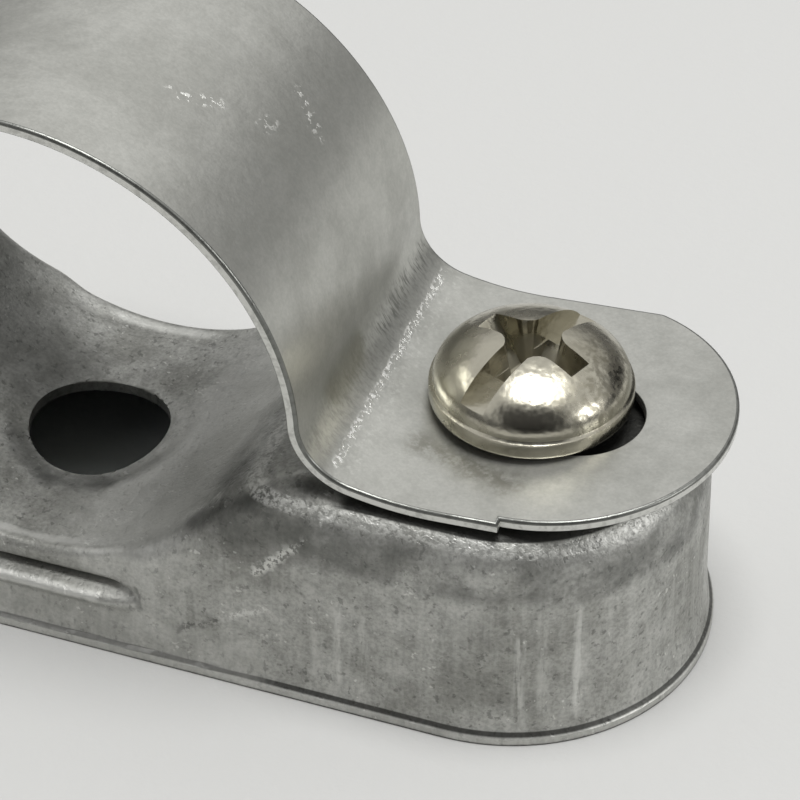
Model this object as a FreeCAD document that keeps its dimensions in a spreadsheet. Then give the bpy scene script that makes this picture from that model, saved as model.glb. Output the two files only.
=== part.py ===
import FreeCAD, Part
import math
import os
import Sketcher
from collections import namedtuple
from FreeCAD import Placement, Rotation, Vector

# A distance saddle for electrical conduit: a strap of thin galvanised sheet, held down by two
# machine screws on a deep-drawn base of the same sheet, which keeps the conduit off the wall.
#
# Frame: the base stands on the plane Z = 0. The origin is on that plane, under the middle of the
# fixing hole. The conduit runs along Y, and the two ears lie along X. Millimetres and degrees.

doc = FreeCAD.newDocument("conduit_strap")

# --------------------------------------------------------------------------- driving dimensions

SIZES = [
    ("conduit", "20.0", "outside diameter of the conduit it holds"),
    # the strap
    ("strap_width", "14.0", "width of the strip, along the conduit"),
    ("strap_gauge", "0.42", "sheet thickness of the strap"),
    ("hoop_play", "1.25", "room between the conduit and the strap's hoop"),
    ("hoop_rise", "2.55", "hoop's axis above the top of the base"),
    ("knee_radius", "2.5", "bend between hoop and ear, on its upper side"),
    ("knee_room", "2.81", "room beside the hoop, before the screw's head"),
    ("sweep_radius", "12.5", "slow curve that turns the ear upwards, on its upper side"),
    ("dip_inset", "2.18", "where the ear touches the base, inwards from the screw"),
    ("ear_tilt", "3.9", "rise of the ear towards its free end, degrees"),
    ("end_shift", "1.02", "centre of the punched round end, outwards from the screw"),
    ("end_margin", "0.05", "how much the punched round end is wider than half the strip"),
    ("slot_length", "7.9", "length of the ear's screw slot"),
    ("slot_shift", "0.67", "middle of the slot, outwards from the screw"),
    ("shank_play", "0.05", "room between the screw and the side of the slot that it is nearest to"),
    # the base
    ("base_height", "9.85", "top of the base above the wall it stands on"),
    ("base_gauge", "0.5", "sheet thickness of the base"),
    ("base_margin", "0.98", "how far the base stands out on each side of the strap"),
    ("base_inset", "0.58", "centre of the base's round end, inwards from the screw"),
    ("brim_reach", "0.44", "how far the trimmed brim stands out of the wall"),
    ("brim_height", "0.45", "height of the trimmed brim"),
    ("trough_play", "0.3", "room between the conduit and its cradle"),
    ("trough_floor", "4.04", "lowest line of the cradle above the wall"),
    ("crest_round", "2.2", "round between the cradle and the top of a pillar"),
    ("rim_round", "1.7", "round between the drawn wall and what it closes: pillars and cradle"),
    ("fixing_hole", "5.9", "diameter of the fixing hole"),
    ("fold_half", "5.6", "half length of the crease and the bead"),
    ("crease_drop", "0.95", "middle of the crease below the cradle's floor"),
    ("crease_radius", "0.55", "radius of the crease's hollow at its middle"),
    ("bead_drop", "1.9", "middle of the bead below the cradle's floor"),
    ("bead_root", "0.6", "centre of the bead's section, inside the wall at its foot"),
    ("bead_radius", "0.85", "radius of the bead at its middle"),
    ("bead_tip", "0.5", "radius of the bead where it has run out into the wall"),
    ("collar_wall", "0.7", "wall of the drawn thread collar"),
    ("collar_depth", "1.6", "depth of the drawn thread collar below the sheet"),
    # the screws
    ("punch_drift", "0.4", "how far the thread holes and end punch sit off the centre line"),
    ("thread_size", "4.0", "outer diameter of the thread"),
    ("screw_length", "8.0", "length under the head"),
    ("tip_bevel", "0.5", "bevel at the tip"),
    ("head_width", "8.0", "diameter of the pan head"),
    ("head_height", "2.9", "height of the pan head"),
    ("head_side", "1.05", "height of the head's upright side"),
    ("head_shoulder", "0.5", "width of the sloping shoulder between the head's side and crown"),
    ("crown_radius", "6.3", "radius of the head's crown"),
    ("seat_bevel", "0.2", "bevel under the head's rim"),
    ("driver_gap", "1.25", "width of the driver slot"),
    ("driver_depth", "1.35", "depth of the driver slot"),
    ("cross_gap", "0.9", "width of the cross recess's wings"),
    ("cross_span", "4.5", "tip to tip of the cross recess"),
    ("cross_depth", "2.2", "depth of the cross recess"),
    ("cross_root", "1.4", "length of the cross recess's wings at their floor"),
    ("driver_turn", "68.0", "direction of the driver slot, degrees from X"),
    # worked out from those above
    ("ear_top", "=base_height + strap_gauge", "upper side of the ear where it touches the base"),
    ("hoop_height", "=base_height + hoop_rise", "hoop's axis above the wall"),
    ("hoop_bore", "=conduit / 2 + hoop_play", "inside radius of the hoop"),
    ("hoop_outside", "=hoop_bore + strap_gauge", "outside radius of the hoop"),
    ("screw_middle", "=hoop_outside + knee_room + head_width / 2", "screw, from the middle"),
    ("ear_dip", "=screw_middle - dip_inset", "where the ear touches the base, from the middle"),
    ("end_middle", "=screw_middle + end_shift", "centre of the punched round end, from the middle"),
    ("end_radius", "=strap_width / 2 + end_margin", "radius of the punched round end"),
    ("ear_reach", "=end_middle + end_radius", "tip of the ear, from the middle"),
    ("slot_centre", "=screw_middle + slot_shift", "middle of the ear's slot"),
    ("slot_width", "=thread_size + 2 * (punch_drift + shank_play)", "width of the ear's slot"),
    ("base_half", "=strap_width / 2 + base_margin", "half width of the base's wall at its foot"),
    ("base_middle", "=screw_middle - base_inset", "centre of the base's round end, from the middle"),
    ("trough_radius", "=conduit / 2 + trough_play", "radius of the cradle for the conduit"),
    ("inner_bevel", "=(rim_round - base_gauge) * (2 - sqrt(2))",
     "bevel inside the rim, which touches the sheet's inner round at its middle"),
    ("driver_span", "=head_width + 2 * driver_gap", "length of the driver slot, right across the head"),
    ("seat_radius", "=head_width / 2 - seat_bevel", "radius of the head's flat seat"),
    ("slot_lead", "=slot_shift + (slot_length - slot_width) / 2",
     "centre of the slot's round end, outwards from the screw"),
    ("slot_apart", "=sqrt(slot_lead ^ 2 + punch_drift ^ 2)", "that centre from the screw's axis"),
    ("seat_along", "=(slot_apart ^ 2 + seat_radius ^ 2 - (slot_width / 2) ^ 2) / (2 * slot_apart)",
     "towards that centre, to where the seat's edge crosses the slot's"),
    ("seat_reach", "=(seat_along * slot_lead + sqrt(seat_radius ^ 2 - seat_along ^ 2) * punch_drift)"
     " / slot_apart", "from the screw's axis to where the head bears on the rising ear"),
    ("seat_height", "=ear_top + sweep_radius * (1 - cos(ear_tilt * 1 deg)) + (screw_middle + seat_reach"
     " - ear_dip - sweep_radius * sin(ear_tilt * 1 deg)) * tan(ear_tilt * 1 deg)",
     "underside of the screw's head above the wall"),
]

sheet = doc.addObject("Spreadsheet::Sheet", "sizes")
for row, (alias, content, meaning) in enumerate(SIZES, start=1):
    sheet.set("A%d" % row, alias)
    sheet.set("B%d" % row, content)
    sheet.set("C%d" % row, meaning)
    sheet.setAlias("B%d" % row, alias)
doc.recompute()


def size(alias):
    """A dimension as a number, read from the sheet."""
    return float(getattr(sheet, alias))


# ------------------------------------------------------------------------------ drawing helpers

START = 1
END = 2
CENTRE = 3
ORIGIN = (-1, 1)
X_AXIS = -1
Y_AXIS = -2


def new_body(name):
    return doc.addObject("PartDesign::Body", name)


def new_sketch(body, name, role):
    """A sketch on one of the body's own origin planes."""
    sketch = body.newObject("Sketcher::SketchObject", name)
    plane = [feature for feature in body.Origin.OriginFeatures if feature.Role == role][0]
    sketch.AttachmentSupport = [(plane, "")]
    sketch.MapMode = "FlatFace"
    return sketch


def add_line(sketch, start, end):
    return sketch.addGeometry(Part.LineSegment(Vector(*start, 0), Vector(*end, 0)), False)


def add_arc(sketch, centre, radius, start, end):
    """An arc, anticlockwise from start to end, in degrees."""
    circle = Part.Circle(Vector(*centre, 0), Vector(0, 0, 1), radius)
    return sketch.addGeometry(Part.ArcOfCircle(circle, math.radians(start), math.radians(end)), False)


def relate(sketch, kind, *items):
    return sketch.addConstraint(Sketcher.Constraint(kind, *items))


def drive(sketch, expression, kind, *items):
    """A size constraint tied to the sheet. The last item is its value to start from."""
    index = relate(sketch, kind, *items)
    sketch.setExpression("Constraints[%d]" % index, expression)


def pin_x(sketch, item, point, value, expression):
    drive(sketch, expression, "DistanceX", *ORIGIN, item, point, value)


def pin_y(sketch, item, point, value, expression):
    drive(sketch, expression, "DistanceY", *ORIGIN, item, point, value)


def add_obround(sketch, left_x, right_x, y, radius):
    """A closed slot shape along X, with its arcs tangent to its sides. Returns its two arcs."""
    right = add_arc(sketch, (right_x, y), radius, -90, 90)
    top = add_line(sketch, (right_x, y + radius), (left_x, y + radius))
    left = add_arc(sketch, (left_x, y), radius, 90, 270)
    bottom = add_line(sketch, (left_x, y - radius), (right_x, y - radius))
    loop = [right, top, left, bottom]
    for item, following in zip(loop, loop[1:] + loop[:1]):
        relate(sketch, "Tangent", item, END, following, START)
    relate(sketch, "Horizontal", top)
    return right, left


def bind(feature, **expressions):
    """Ties a feature's properties to the sheet."""
    for name, expression in expressions.items():
        feature.setExpression(name, expression)


def part_object(kind, name, **expressions):
    item = doc.addObject(kind, name)
    bind(item, **expressions)
    return item


def placed(item, x="0", y="0", z="0"):
    """Ties an object's place to the sheet."""
    item.setExpression("Placement.Base.x", x)
    item.setExpression("Placement.Base.y", y)
    item.setExpression("Placement.Base.z", z)
    return item


# ------------------------------------------------------------------------------------ the strap

def draw_strap_profile(sketch):
    """Half of the strip seen along the conduit: hoop, knee, slow curve and rising ear. The upper
    side is driven by the sheet, and the lower side is held parallel to it."""
    hoop = Vector(0, size("hoop_height"))
    outside, bore = size("hoop_outside"), size("hoop_bore")
    gauge, knee_radius, sweep_radius = size("strap_gauge"), size("knee_radius"), size("sweep_radius")
    sweep = Vector(size("ear_dip"), size("ear_top") + sweep_radius)
    tilt = size("ear_tilt")

    # the knee touches the hoop from outside and the slow curve from inside
    span = sweep - hoop
    to_hoop, to_sweep = outside + knee_radius, sweep_radius - knee_radius
    along = (to_hoop ** 2 - to_sweep ** 2 + span.Length ** 2) / (2 * span.Length)
    aside = math.sqrt(to_hoop ** 2 - along ** 2)
    unit = span / span.Length
    knee = hoop + unit * along + Vector(unit.y, -unit.x) * aside

    def angle(start, end):
        return math.degrees(math.atan2(end.y - start.y, end.x - start.x))

    at_hoop = angle(hoop, knee)
    at_sweep = angle(sweep, knee) % 360

    def on(centre, radius, degrees):
        return centre + Vector(math.cos(math.radians(degrees)), math.sin(math.radians(degrees))) * radius

    def side(hoop_radius, knee_arc, sweep_arc):
        """Arcs and ear line of one side of the sheet."""
        ear_start = on(sweep, sweep_arc, 270 + tilt)
        ear_end = ear_start + on(Vector(), size("ear_reach") + gauge - ear_start.x, tilt)
        return (
            add_arc(sketch, (hoop.x, hoop.y), hoop_radius, at_hoop, 90),
            add_arc(sketch, (knee.x, knee.y), knee_arc, at_hoop + 180, at_sweep),
            add_arc(sketch, (sweep.x, sweep.y), sweep_arc, at_sweep, 270 + tilt),
            add_line(sketch, (ear_start.x, ear_start.y), (ear_end.x, ear_end.y)),
        )

    upper = side(outside, knee_radius, sweep_radius)
    lower = side(bore, knee_radius + gauge, sweep_radius + gauge)
    for hoop_arc, knee_arc, sweep_arc, ear in (upper, lower):
        relate(sketch, "Tangent", hoop_arc, START, knee_arc, START)
        relate(sketch, "Tangent", knee_arc, END, sweep_arc, START)
        relate(sketch, "Tangent", sweep_arc, END, ear, START)
        relate(sketch, "PointOnObject", hoop_arc, END, Y_AXIS)
    for above, below in zip(upper[:3], lower[:3]):
        relate(sketch, "Coincident", above, CENTRE, below, CENTRE)
    relate(sketch, "Parallel", upper[3], lower[3])

    crown = add_line(sketch, (0, hoop.y + bore), (0, hoop.y + outside))
    relate(sketch, "Coincident", crown, START, lower[0], END)
    relate(sketch, "Coincident", crown, END, upper[0], END)
    tip_above = sketch.getPoint(upper[3], END)
    tip_below = sketch.getPoint(lower[3], END)
    tip = add_line(sketch, (tip_above.x, tip_above.y), (tip_below.x, tip_below.y))
    relate(sketch, "Coincident", tip, START, upper[3], END)
    relate(sketch, "Coincident", tip, END, lower[3], END)
    relate(sketch, "Perpendicular", tip, upper[3])

    relate(sketch, "PointOnObject", upper[0], CENTRE, Y_AXIS)
    pin_y(sketch, upper[0], CENTRE, hoop.y, "sizes.hoop_height")
    pin_x(sketch, upper[2], CENTRE, sweep.x, "sizes.ear_dip")
    pin_y(sketch, upper[2], CENTRE, sweep.y, "sizes.ear_top + sizes.sweep_radius")
    drive(sketch, "sizes.hoop_outside", "Radius", upper[0], outside)
    drive(sketch, "sizes.hoop_bore", "Radius", lower[0], bore)
    drive(sketch, "sizes.knee_radius", "Radius", upper[1], knee_radius)
    drive(sketch, "sizes.sweep_radius", "Radius", upper[2], sweep_radius)
    drive(sketch, "sizes.ear_tilt * 1 deg", "Angle", upper[3], math.radians(tilt))
    pin_x(sketch, upper[3], END, size("ear_reach") + gauge, "sizes.ear_reach + sizes.strap_gauge")


def draw_end_punch(sketch):
    """What the end punch cuts away: all outside a half circle. The punch sits a little to one
    side, so it leaves a small step at one edge of the strip."""
    x, y, radius = size("end_middle"), size("punch_drift"), size("end_radius")
    beyond, wide = x + 2 * radius, 2 * radius
    edge = add_arc(sketch, (x, y), radius, -90, 90)
    corners = [(x, y + radius), (x, wide), (beyond, wide), (beyond, -wide), (x, -wide), (x, y - radius)]
    sides = [add_line(sketch, start, end) for start, end in zip(corners, corners[1:])]
    relate(sketch, "Coincident", edge, END, sides[0], START)
    for item, following in zip(sides, sides[1:]):
        relate(sketch, "Coincident", item, END, following, START)
    relate(sketch, "Coincident", sides[-1], END, edge, START)
    for upright in (sides[0], sides[4]):
        relate(sketch, "Vertical", upright)
    for level in (sides[1], sides[3]):
        relate(sketch, "Horizontal", level)
    relate(sketch, "Vertical", edge, CENTRE, edge, END)
    relate(sketch, "Vertical", edge, CENTRE, edge, START)
    pin_x(sketch, edge, CENTRE, x, "sizes.end_middle")
    pin_y(sketch, edge, CENTRE, y, "sizes.punch_drift")
    drive(sketch, "sizes.end_radius", "Radius", edge, radius)
    pin_x(sketch, sides[1], END, beyond, "sizes.end_middle + 2 * sizes.end_radius")
    pin_y(sketch, sides[1], END, wide, "2 * sizes.end_radius")
    relate(sketch, "Symmetric", sides[1], END, sides[3], START, X_AXIS)


def draw_ear_slot(sketch):
    """The slot that lets the strap be set before the screw is tightened."""
    middle, radius = size("slot_centre"), size("slot_width") / 2
    half = size("slot_length") / 2 - radius
    outer, inner = add_obround(sketch, middle - half, middle + half, 0, radius)
    relate(sketch, "PointOnObject", outer, CENTRE, X_AXIS)
    drive(sketch, "sizes.slot_width / 2", "Radius", outer, radius)
    pin_x(sketch, outer, CENTRE, middle + half,
          "sizes.slot_centre + (sizes.slot_length - sizes.slot_width) / 2")
    pin_x(sketch, inner, CENTRE, middle - half,
          "sizes.slot_centre - (sizes.slot_length - sizes.slot_width) / 2")


def cut_through(body, sketch, name):
    """A pocket through everything, both ways from its sketch."""
    pocket = body.newObject("PartDesign::Pocket", name)
    pocket.Profile = sketch
    pocket.Type = "ThroughAll"
    pocket.Midplane = True
    return pocket


def make_strap():
    body = new_body("strap")
    profile = new_sketch(body, "strap_profile", "XZ_Plane")
    draw_strap_profile(profile)
    strip = body.newObject("PartDesign::Pad", "strap_strip")
    strip.Profile = profile
    strip.Midplane = True
    bind(strip, Length="sizes.strap_width")

    end = new_sketch(body, "ear_end", "XY_Plane")
    draw_end_punch(end)
    end_cut = cut_through(body, end, "ear_end_punch")
    slot = new_sketch(body, "ear_slot", "XY_Plane")
    draw_ear_slot(slot)
    slot_cut = cut_through(body, slot, "ear_slot_punch")

    other_half = body.newObject("PartDesign::Mirrored", "other_half")
    other_half.Originals = [strip, end_cut, slot_cut]
    other_half.MirrorPlane = (profile, ["V_Axis"])
    body.Tip = other_half
    return body


# ------------------------------------------------------------------------------------- the base

def draw_outline(sketch, radius, expression):
    """The base's plan: a slot shape about the origin."""
    middle = size("base_middle")
    right, left = add_obround(sketch, -middle, middle, 0, radius)
    drive(sketch, expression, "Radius", right, radius)
    pin_x(sketch, right, CENTRE, middle, "sizes.base_middle")
    relate(sketch, "Symmetric", right, CENTRE, left, CENTRE, *ORIGIN)


def is_crest(edge, top):
    """Whether an edge is where the cradle meets the flat top of a pillar."""
    if edge.Curve.TypeId != "Part::GeomLine":
        return False
    first, second = edge.Vertexes
    level = abs(first.Z - top) < 1e-6 and abs(second.Z - top) < 1e-6
    return level and abs(first.X - second.X) < 1e-6


def is_rim(edge, half_width):
    """Whether an edge runs along the top of the drawn wall, round a pillar or down the cradle."""
    for point in edge.discretize(5):
        reach = Vector(max(abs(point.x) - size("base_middle"), 0), point.y).Length
        if abs(reach - half_width) > 1e-4 or point.z < 1e-4:
            return False
    ends = [edge.firstVertex().Point, edge.lastVertex().Point]
    upright = abs(ends[0].z - ends[1].z) > 1e-4 and abs(ends[0].x - ends[1].x) < 1e-4
    return not upright


def edge_names(shape, test, *arguments):
    return ["Edge%d" % index for index, edge in enumerate(shape.Edges, start=1) if test(edge, *arguments)]


def finish_edges(body, base, kind, name, edges, **expressions):
    """A fillet or a chamfer on named edges of the body's last feature."""
    finish = body.newObject(kind, name)
    finish.Base = (base, edges)
    bind(finish, **expressions)
    doc.recompute()
    return finish


def make_fold(name, root, level, middle_radius, tip_radius):
    """A crease or a bead along both long walls: a bar on each that is thickest at the middle and
    runs out into the wall at both ends. Its axis is set in from the wall's foot by its root."""
    halves = []
    for wall, side in (("front", "-"), ("back", "")):
        for end, turn in (("right", 90), ("left", -90)):
            half = part_object("Part::Cone", "_".join((name, wall, end)), Radius1=middle_radius,
                               Radius2=tip_radius, Height="sizes.fold_half")
            half.Placement.Rotation = Rotation(Vector(0, 1, 0), turn)
            halves.append(placed(half, y="%s(sizes.base_half - %s)" % (side, root), z=level))
    return halves


def make_pressing(name, inset, gauge):
    """The solid inside one face of the base's sheet, from the wall plane up. The outer face has
    no inset, and the inner face lies one gauge inside it."""
    less, more = " - " + gauge, " + " + gauge
    block = new_body(name + "_block")
    outline = new_sketch(block, name + "_outline", "XY_Plane")
    draw_outline(outline, size("base_half") - inset, "sizes.base_half" + less)
    drawn = block.newObject("PartDesign::Pad", name + "_drawn")
    drawn.Profile = outline
    bind(drawn, Length="sizes.base_height" + less)

    cradle = new_sketch(block, name + "_cradle", "XZ_Plane")
    level = size("trough_floor") + size("trough_radius")
    radius = size("trough_radius") + inset
    circle = cradle.addGeometry(Part.Circle(Vector(0, level, 0), Vector(0, 0, 1), radius), False)
    relate(cradle, "PointOnObject", circle, CENTRE, Y_AXIS)
    pin_y(cradle, circle, CENTRE, level, "sizes.trough_floor + sizes.trough_radius")
    drive(cradle, "sizes.trough_radius" + more, "Radius", circle, radius)
    cradle_cut = cut_through(block, cradle, name + "_cradle_cut")
    doc.recompute()

    crests = edge_names(cradle_cut.Shape, is_crest, size("base_height") - inset)
    crest = finish_edges(block, cradle_cut, "PartDesign::Fillet", name + "_crest", crests,
                         Radius="sizes.crest_round" + less)
    rims = edge_names(crest.Shape, is_rim, size("base_half") - inset)
    if inset:
        finish_edges(block, crest, "PartDesign::Chamfer", name + "_rim", rims, Size="sizes.inner_bevel")
    else:
        finish_edges(block, crest, "PartDesign::Fillet", name + "_rim", rims, Radius="sizes.rim_round")

    beads = make_fold(name + "_bead", "sizes.bead_root", "sizes.trough_floor - sizes.bead_drop",
                      "sizes.bead_radius" + less, "sizes.bead_tip" + less)
    creases = make_fold(name + "_crease", "0", "sizes.trough_floor - sizes.crease_drop",
                        "sizes.crease_radius" + more, gauge)
    beaded = part_object("Part::MultiFuse", name + "_beaded")
    beaded.Shapes = [block] + beads
    return cut_away(beaded, name + "_pressing", creases)


def cut_away(base, name, tools):
    joined = part_object("Part::MultiFuse", name + "_tools") if len(tools) > 1 else tools[0]
    if len(tools) > 1:
        joined.Shapes = tools
    cut = part_object("Part::Cut", name)
    cut.Base = base
    cut.Tool = joined
    return cut


def make_brim():
    """The trimmed edge that stands out a little all round the foot."""
    body = new_body("brim")
    outline = new_sketch(body, "brim_outline", "XY_Plane")
    draw_outline(outline, size("base_half") + size("brim_reach"), "sizes.base_half + sizes.brim_reach")
    plate = body.newObject("PartDesign::Pad", "brim_plate")
    plate.Profile = outline
    bind(plate, Length="sizes.brim_height")
    return body


def post(name, radius, height, x, y, z):
    return placed(part_object("Part::Cylinder", name, Radius=radius, Height=height), x, y, z)


def make_base():
    outer = make_pressing("outer", 0.0, "0")
    inner = make_pressing("inner", size("base_gauge"), "sizes.base_gauge")
    footed = part_object("Part::MultiFuse", "footed")
    footed.Shapes = [outer, make_brim()]
    shell = cut_away(footed, "shell", [inner])

    collars, holes = [], [post("fixing_hole", "sizes.fixing_hole / 2", "sizes.base_height", "0", "0", "0")]
    for tag, side in (("right", ""), ("left", "-")):
        x = side + "sizes.screw_middle"
        depth = "sizes.base_gauge / 2 + sizes.collar_depth"
        collars.append(post("collar_" + tag, "sizes.thread_size / 2 + sizes.collar_wall", depth, x,
                            "sizes.punch_drift", "sizes.base_height - sizes.base_gauge - sizes.collar_depth"))
        holes.append(post("thread_hole_" + tag, "sizes.thread_size / 2", "sizes.base_height", x,
                          "sizes.punch_drift", "sizes.base_height / 2"))
    collared = part_object("Part::MultiFuse", "collared")
    collared.Shapes = [shell] + collars
    return cut_away(collared, "base", holes)


# ----------------------------------------------------------------------------------- the screws

# One blade of a driver: its length at the crown and at the floor, its depth and thickness as
# names in the sheet, and its direction as an expression.
Blade = namedtuple("Blade", "mouth floor depth gap turn")
FLAT_DRIVER = Blade("driver_span", "driver_span", "driver_depth", "driver_gap",
                    "sizes.driver_turn * 1 deg")
CROSS_DRIVER = Blade("cross_span", "cross_root", "cross_depth", "cross_gap",
                     "sizes.driver_turn * 1 deg")
CROSS_DRIVER_ACROSS = CROSS_DRIVER._replace(turn="sizes.driver_turn * 1 deg + 90 deg")


def draw_screw_section(sketch):
    """Half of the screw's section: shank, bevelled tip, flat seat and pan head, with a sloping
    shoulder below its round crown. The seat is on the sketch's X axis."""
    shank, reach = size("thread_size") / 2, size("head_width") / 2
    length, bevel, under = size("screw_length"), size("tip_bevel"), size("seat_bevel")
    top, side, crown_radius = size("head_height"), size("head_side"), size("crown_radius")
    centre = top - crown_radius
    crown_reach = reach - size("head_shoulder")
    crown_edge = centre + math.sqrt(crown_radius ** 2 - crown_reach ** 2)
    points = [(0, top), (0, -length), (shank - bevel, -length), (shank, bevel - length), (shank, 0),
              (reach - under, 0), (reach, under), (reach, side), (crown_reach, crown_edge)]
    chain = [add_line(sketch, start, end) for start, end in zip(points, points[1:])]
    axis, tip, tip_line, thread, seat, under_line, rim, shoulder = chain
    crown = add_arc(sketch, (0, centre), crown_radius,
                    math.degrees(math.atan2(crown_edge - centre, crown_reach)), 90)
    for item, following in zip(chain, chain[1:]):
        relate(sketch, "Coincident", item, END, following, START)
    relate(sketch, "Coincident", shoulder, END, crown, START)
    relate(sketch, "Coincident", crown, END, axis, START)
    for item, point in ((axis, START), (axis, END), (crown, CENTRE)):
        relate(sketch, "PointOnObject", item, point, Y_AXIS)
    relate(sketch, "Horizontal", tip)
    relate(sketch, "Vertical", thread)
    relate(sketch, "Vertical", rim)
    relate(sketch, "PointOnObject", seat, START, X_AXIS)
    relate(sketch, "PointOnObject", seat, END, X_AXIS)
    pin_y(sketch, axis, START, top, "sizes.head_height")
    pin_y(sketch, rim, END, side, "sizes.head_side")
    pin_x(sketch, rim, START, reach, "sizes.head_width / 2")
    pin_x(sketch, shoulder, END, crown_reach, "sizes.head_width / 2 - sizes.head_shoulder")
    pin_x(sketch, thread, START, shank, "sizes.thread_size / 2")
    drive(sketch, "sizes.crown_radius", "Radius", crown, crown_radius)
    drive(sketch, "sizes.screw_length", "DistanceY", axis, END, *ORIGIN, length)
    for item, expression, value in ((tip_line, "sizes.tip_bevel", bevel),
                                    (under_line, "sizes.seat_bevel", under)):
        drive(sketch, expression, "DistanceX", item, START, item, END, value)
        drive(sketch, expression, "DistanceY", item, START, item, END, value)


def draw_blade(sketch, blade):
    """One slot of the driver recess seen from its side: wide at the crown, narrower at its floor."""
    top, mouth, floor, depth = size("head_height"), size(blade.mouth), size(blade.floor), size(blade.depth)
    corners = [(mouth / 2, top), (-mouth / 2, top), (-floor / 2, top - depth), (floor / 2, top - depth)]
    sides = [add_line(sketch, start, end) for start, end in zip(corners, corners[1:] + corners[:1])]
    for item, following in zip(sides, sides[1:] + sides[:1]):
        relate(sketch, "Coincident", item, END, following, START)
    relate(sketch, "Symmetric", sides[0], START, sides[0], END, Y_AXIS)
    relate(sketch, "Symmetric", sides[2], START, sides[2], END, Y_AXIS)
    pin_y(sketch, sides[0], START, top, "sizes.head_height")
    drive(sketch, "sizes." + blade.mouth, "DistanceX", sides[0], END, sides[0], START, mouth)
    drive(sketch, "sizes." + blade.floor, "DistanceX", sides[2], START, sides[2], END, floor)
    drive(sketch, "sizes." + blade.depth, "DistanceY", sides[1], END, sides[1], START, depth)


def cut_blade(body, name, blade):
    """A slot cut down into the head from its crown, turned about the screw's axis."""
    sketch = new_sketch(body, name + "_side", "XZ_Plane")
    sketch.AttachmentOffset = Placement(Vector(), Rotation(Vector(0, 1, 0), 1))
    sketch.setExpression("AttachmentOffset.Rotation.Angle", blade.turn)
    draw_blade(sketch, blade)
    pocket = body.newObject("PartDesign::Pocket", name)
    pocket.Profile = sketch
    pocket.Midplane = True
    bind(pocket, Length="sizes." + blade.gap)


def make_screw(name, side):
    """A machine screw whose pan head takes a flat or a cross driver. It stands on its seat, the
    highest points of the tilted ear under its rim."""
    body = new_body(name)
    section = new_sketch(body, name + "_section", "XZ_Plane")
    draw_screw_section(section)
    turned = body.newObject("PartDesign::Revolution", name + "_turned")
    turned.Profile = section
    turned.ReferenceAxis = (section, ["V_Axis"])
    turned.Angle = 360
    for tag, blade in (("slot", FLAT_DRIVER), ("wings", CROSS_DRIVER), ("cross_wings", CROSS_DRIVER_ACROSS)):
        cut_blade(body, "%s_%s" % (name, tag), blade)
    placed(body, side + "sizes.screw_middle", "sizes.punch_drift", "sizes.seat_height")
    return body


# ---------------------------------------------------------------------------- build and write

def check(item):
    shape = item.Shape
    if shape.isNull() or not shape.isValid() or len(shape.Solids) != 1:
        raise RuntimeError("%s is not one good solid" % item.Label)


strap = make_strap()
base = make_base()
screw_right = make_screw("screw_right", "")
screw_left = make_screw("screw_left", "-")
doc.recompute()

failed = [item.Name for item in doc.Objects if "Invalid" in item.State or "Error" in item.State]
if failed:
    raise RuntimeError("these failed to build: %s" % failed)

os.makedirs("parts", exist_ok=True)
for node in (strap, base, screw_right, screw_left):
    check(node)
    node.Shape.exportStep("parts/%s.step" % node.Label)
    box = node.Shape.BoundBox
    print("%-12s %8.1f mm3  %6.2f x %5.2f x %5.2f" % (
        node.Label, node.Shape.Volume, box.XLength, box.YLength, box.ZLength))
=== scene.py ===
import logging
import math
from dataclasses import dataclass, replace
from enum import Enum
from typing import Callable

import bpy
import numpy as np
from mathutils import Matrix, Vector


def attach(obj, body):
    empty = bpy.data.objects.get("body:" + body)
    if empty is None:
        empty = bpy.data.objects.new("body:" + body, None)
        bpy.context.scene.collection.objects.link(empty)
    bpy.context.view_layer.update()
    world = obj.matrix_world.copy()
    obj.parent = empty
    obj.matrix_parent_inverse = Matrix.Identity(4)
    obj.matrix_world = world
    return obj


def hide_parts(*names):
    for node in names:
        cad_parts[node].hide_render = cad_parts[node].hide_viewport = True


# A distance saddle for electrical conduit: a bent strap of thin galvanised strip, two pan head
# screws and a hollow, deep-drawn base with a cradle. Sizes are in millimetres, and the frame is
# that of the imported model: the base stands on Z = 0, the conduit runs along Y, the ears lie on X.

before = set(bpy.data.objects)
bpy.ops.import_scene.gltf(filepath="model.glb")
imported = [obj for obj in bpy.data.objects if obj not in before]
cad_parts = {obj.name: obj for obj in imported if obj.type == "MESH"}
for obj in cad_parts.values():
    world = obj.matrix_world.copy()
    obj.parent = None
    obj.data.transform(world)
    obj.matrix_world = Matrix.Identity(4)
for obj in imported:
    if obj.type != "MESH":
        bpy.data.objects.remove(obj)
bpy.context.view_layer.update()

MM = 0.001
BODY = "root"
SCREW_X = 18.48
SEAM = 0.002  # points nearer than this are one point
SLIVER = 0.001  # edges shorter than this are nothing but leftovers of a cut
PUNCH_Y = 0.4  # the screws and the ears' punching sit this far off the middle of the strip

Place = tuple[float, float, float]  # a place, direction, turn or set of shares along X, Y and Z
SOFT = {"interpolation_type": "SMOOTHSTEP"}  # a range that eases in and out

logging.basicConfig(level=logging.INFO, format="%(message)s")
log = logging.getLogger("saddle")


# ------------------------------------------------------------------------------ at the bench

class Side(Enum):
    """Which ear of the saddle a piece belongs to."""

    RIGHT = 1
    LEFT = -1


class Layer(Enum):
    """The faces of a sheet: outer side, sheared edge, inner side, and the rolled-over shoulder."""

    OUTER = 0
    EDGE = 1
    INNER = 2
    ROLLED = 3


def leave_and_deselect() -> None:
    """Leaves edit mode and deselects everything, so that the next tool acts on one piece only."""
    if bpy.context.object and bpy.context.object.mode != "OBJECT":
        bpy.ops.object.mode_set(mode="OBJECT")
    bpy.ops.object.select_all(action="DESELECT")


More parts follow.
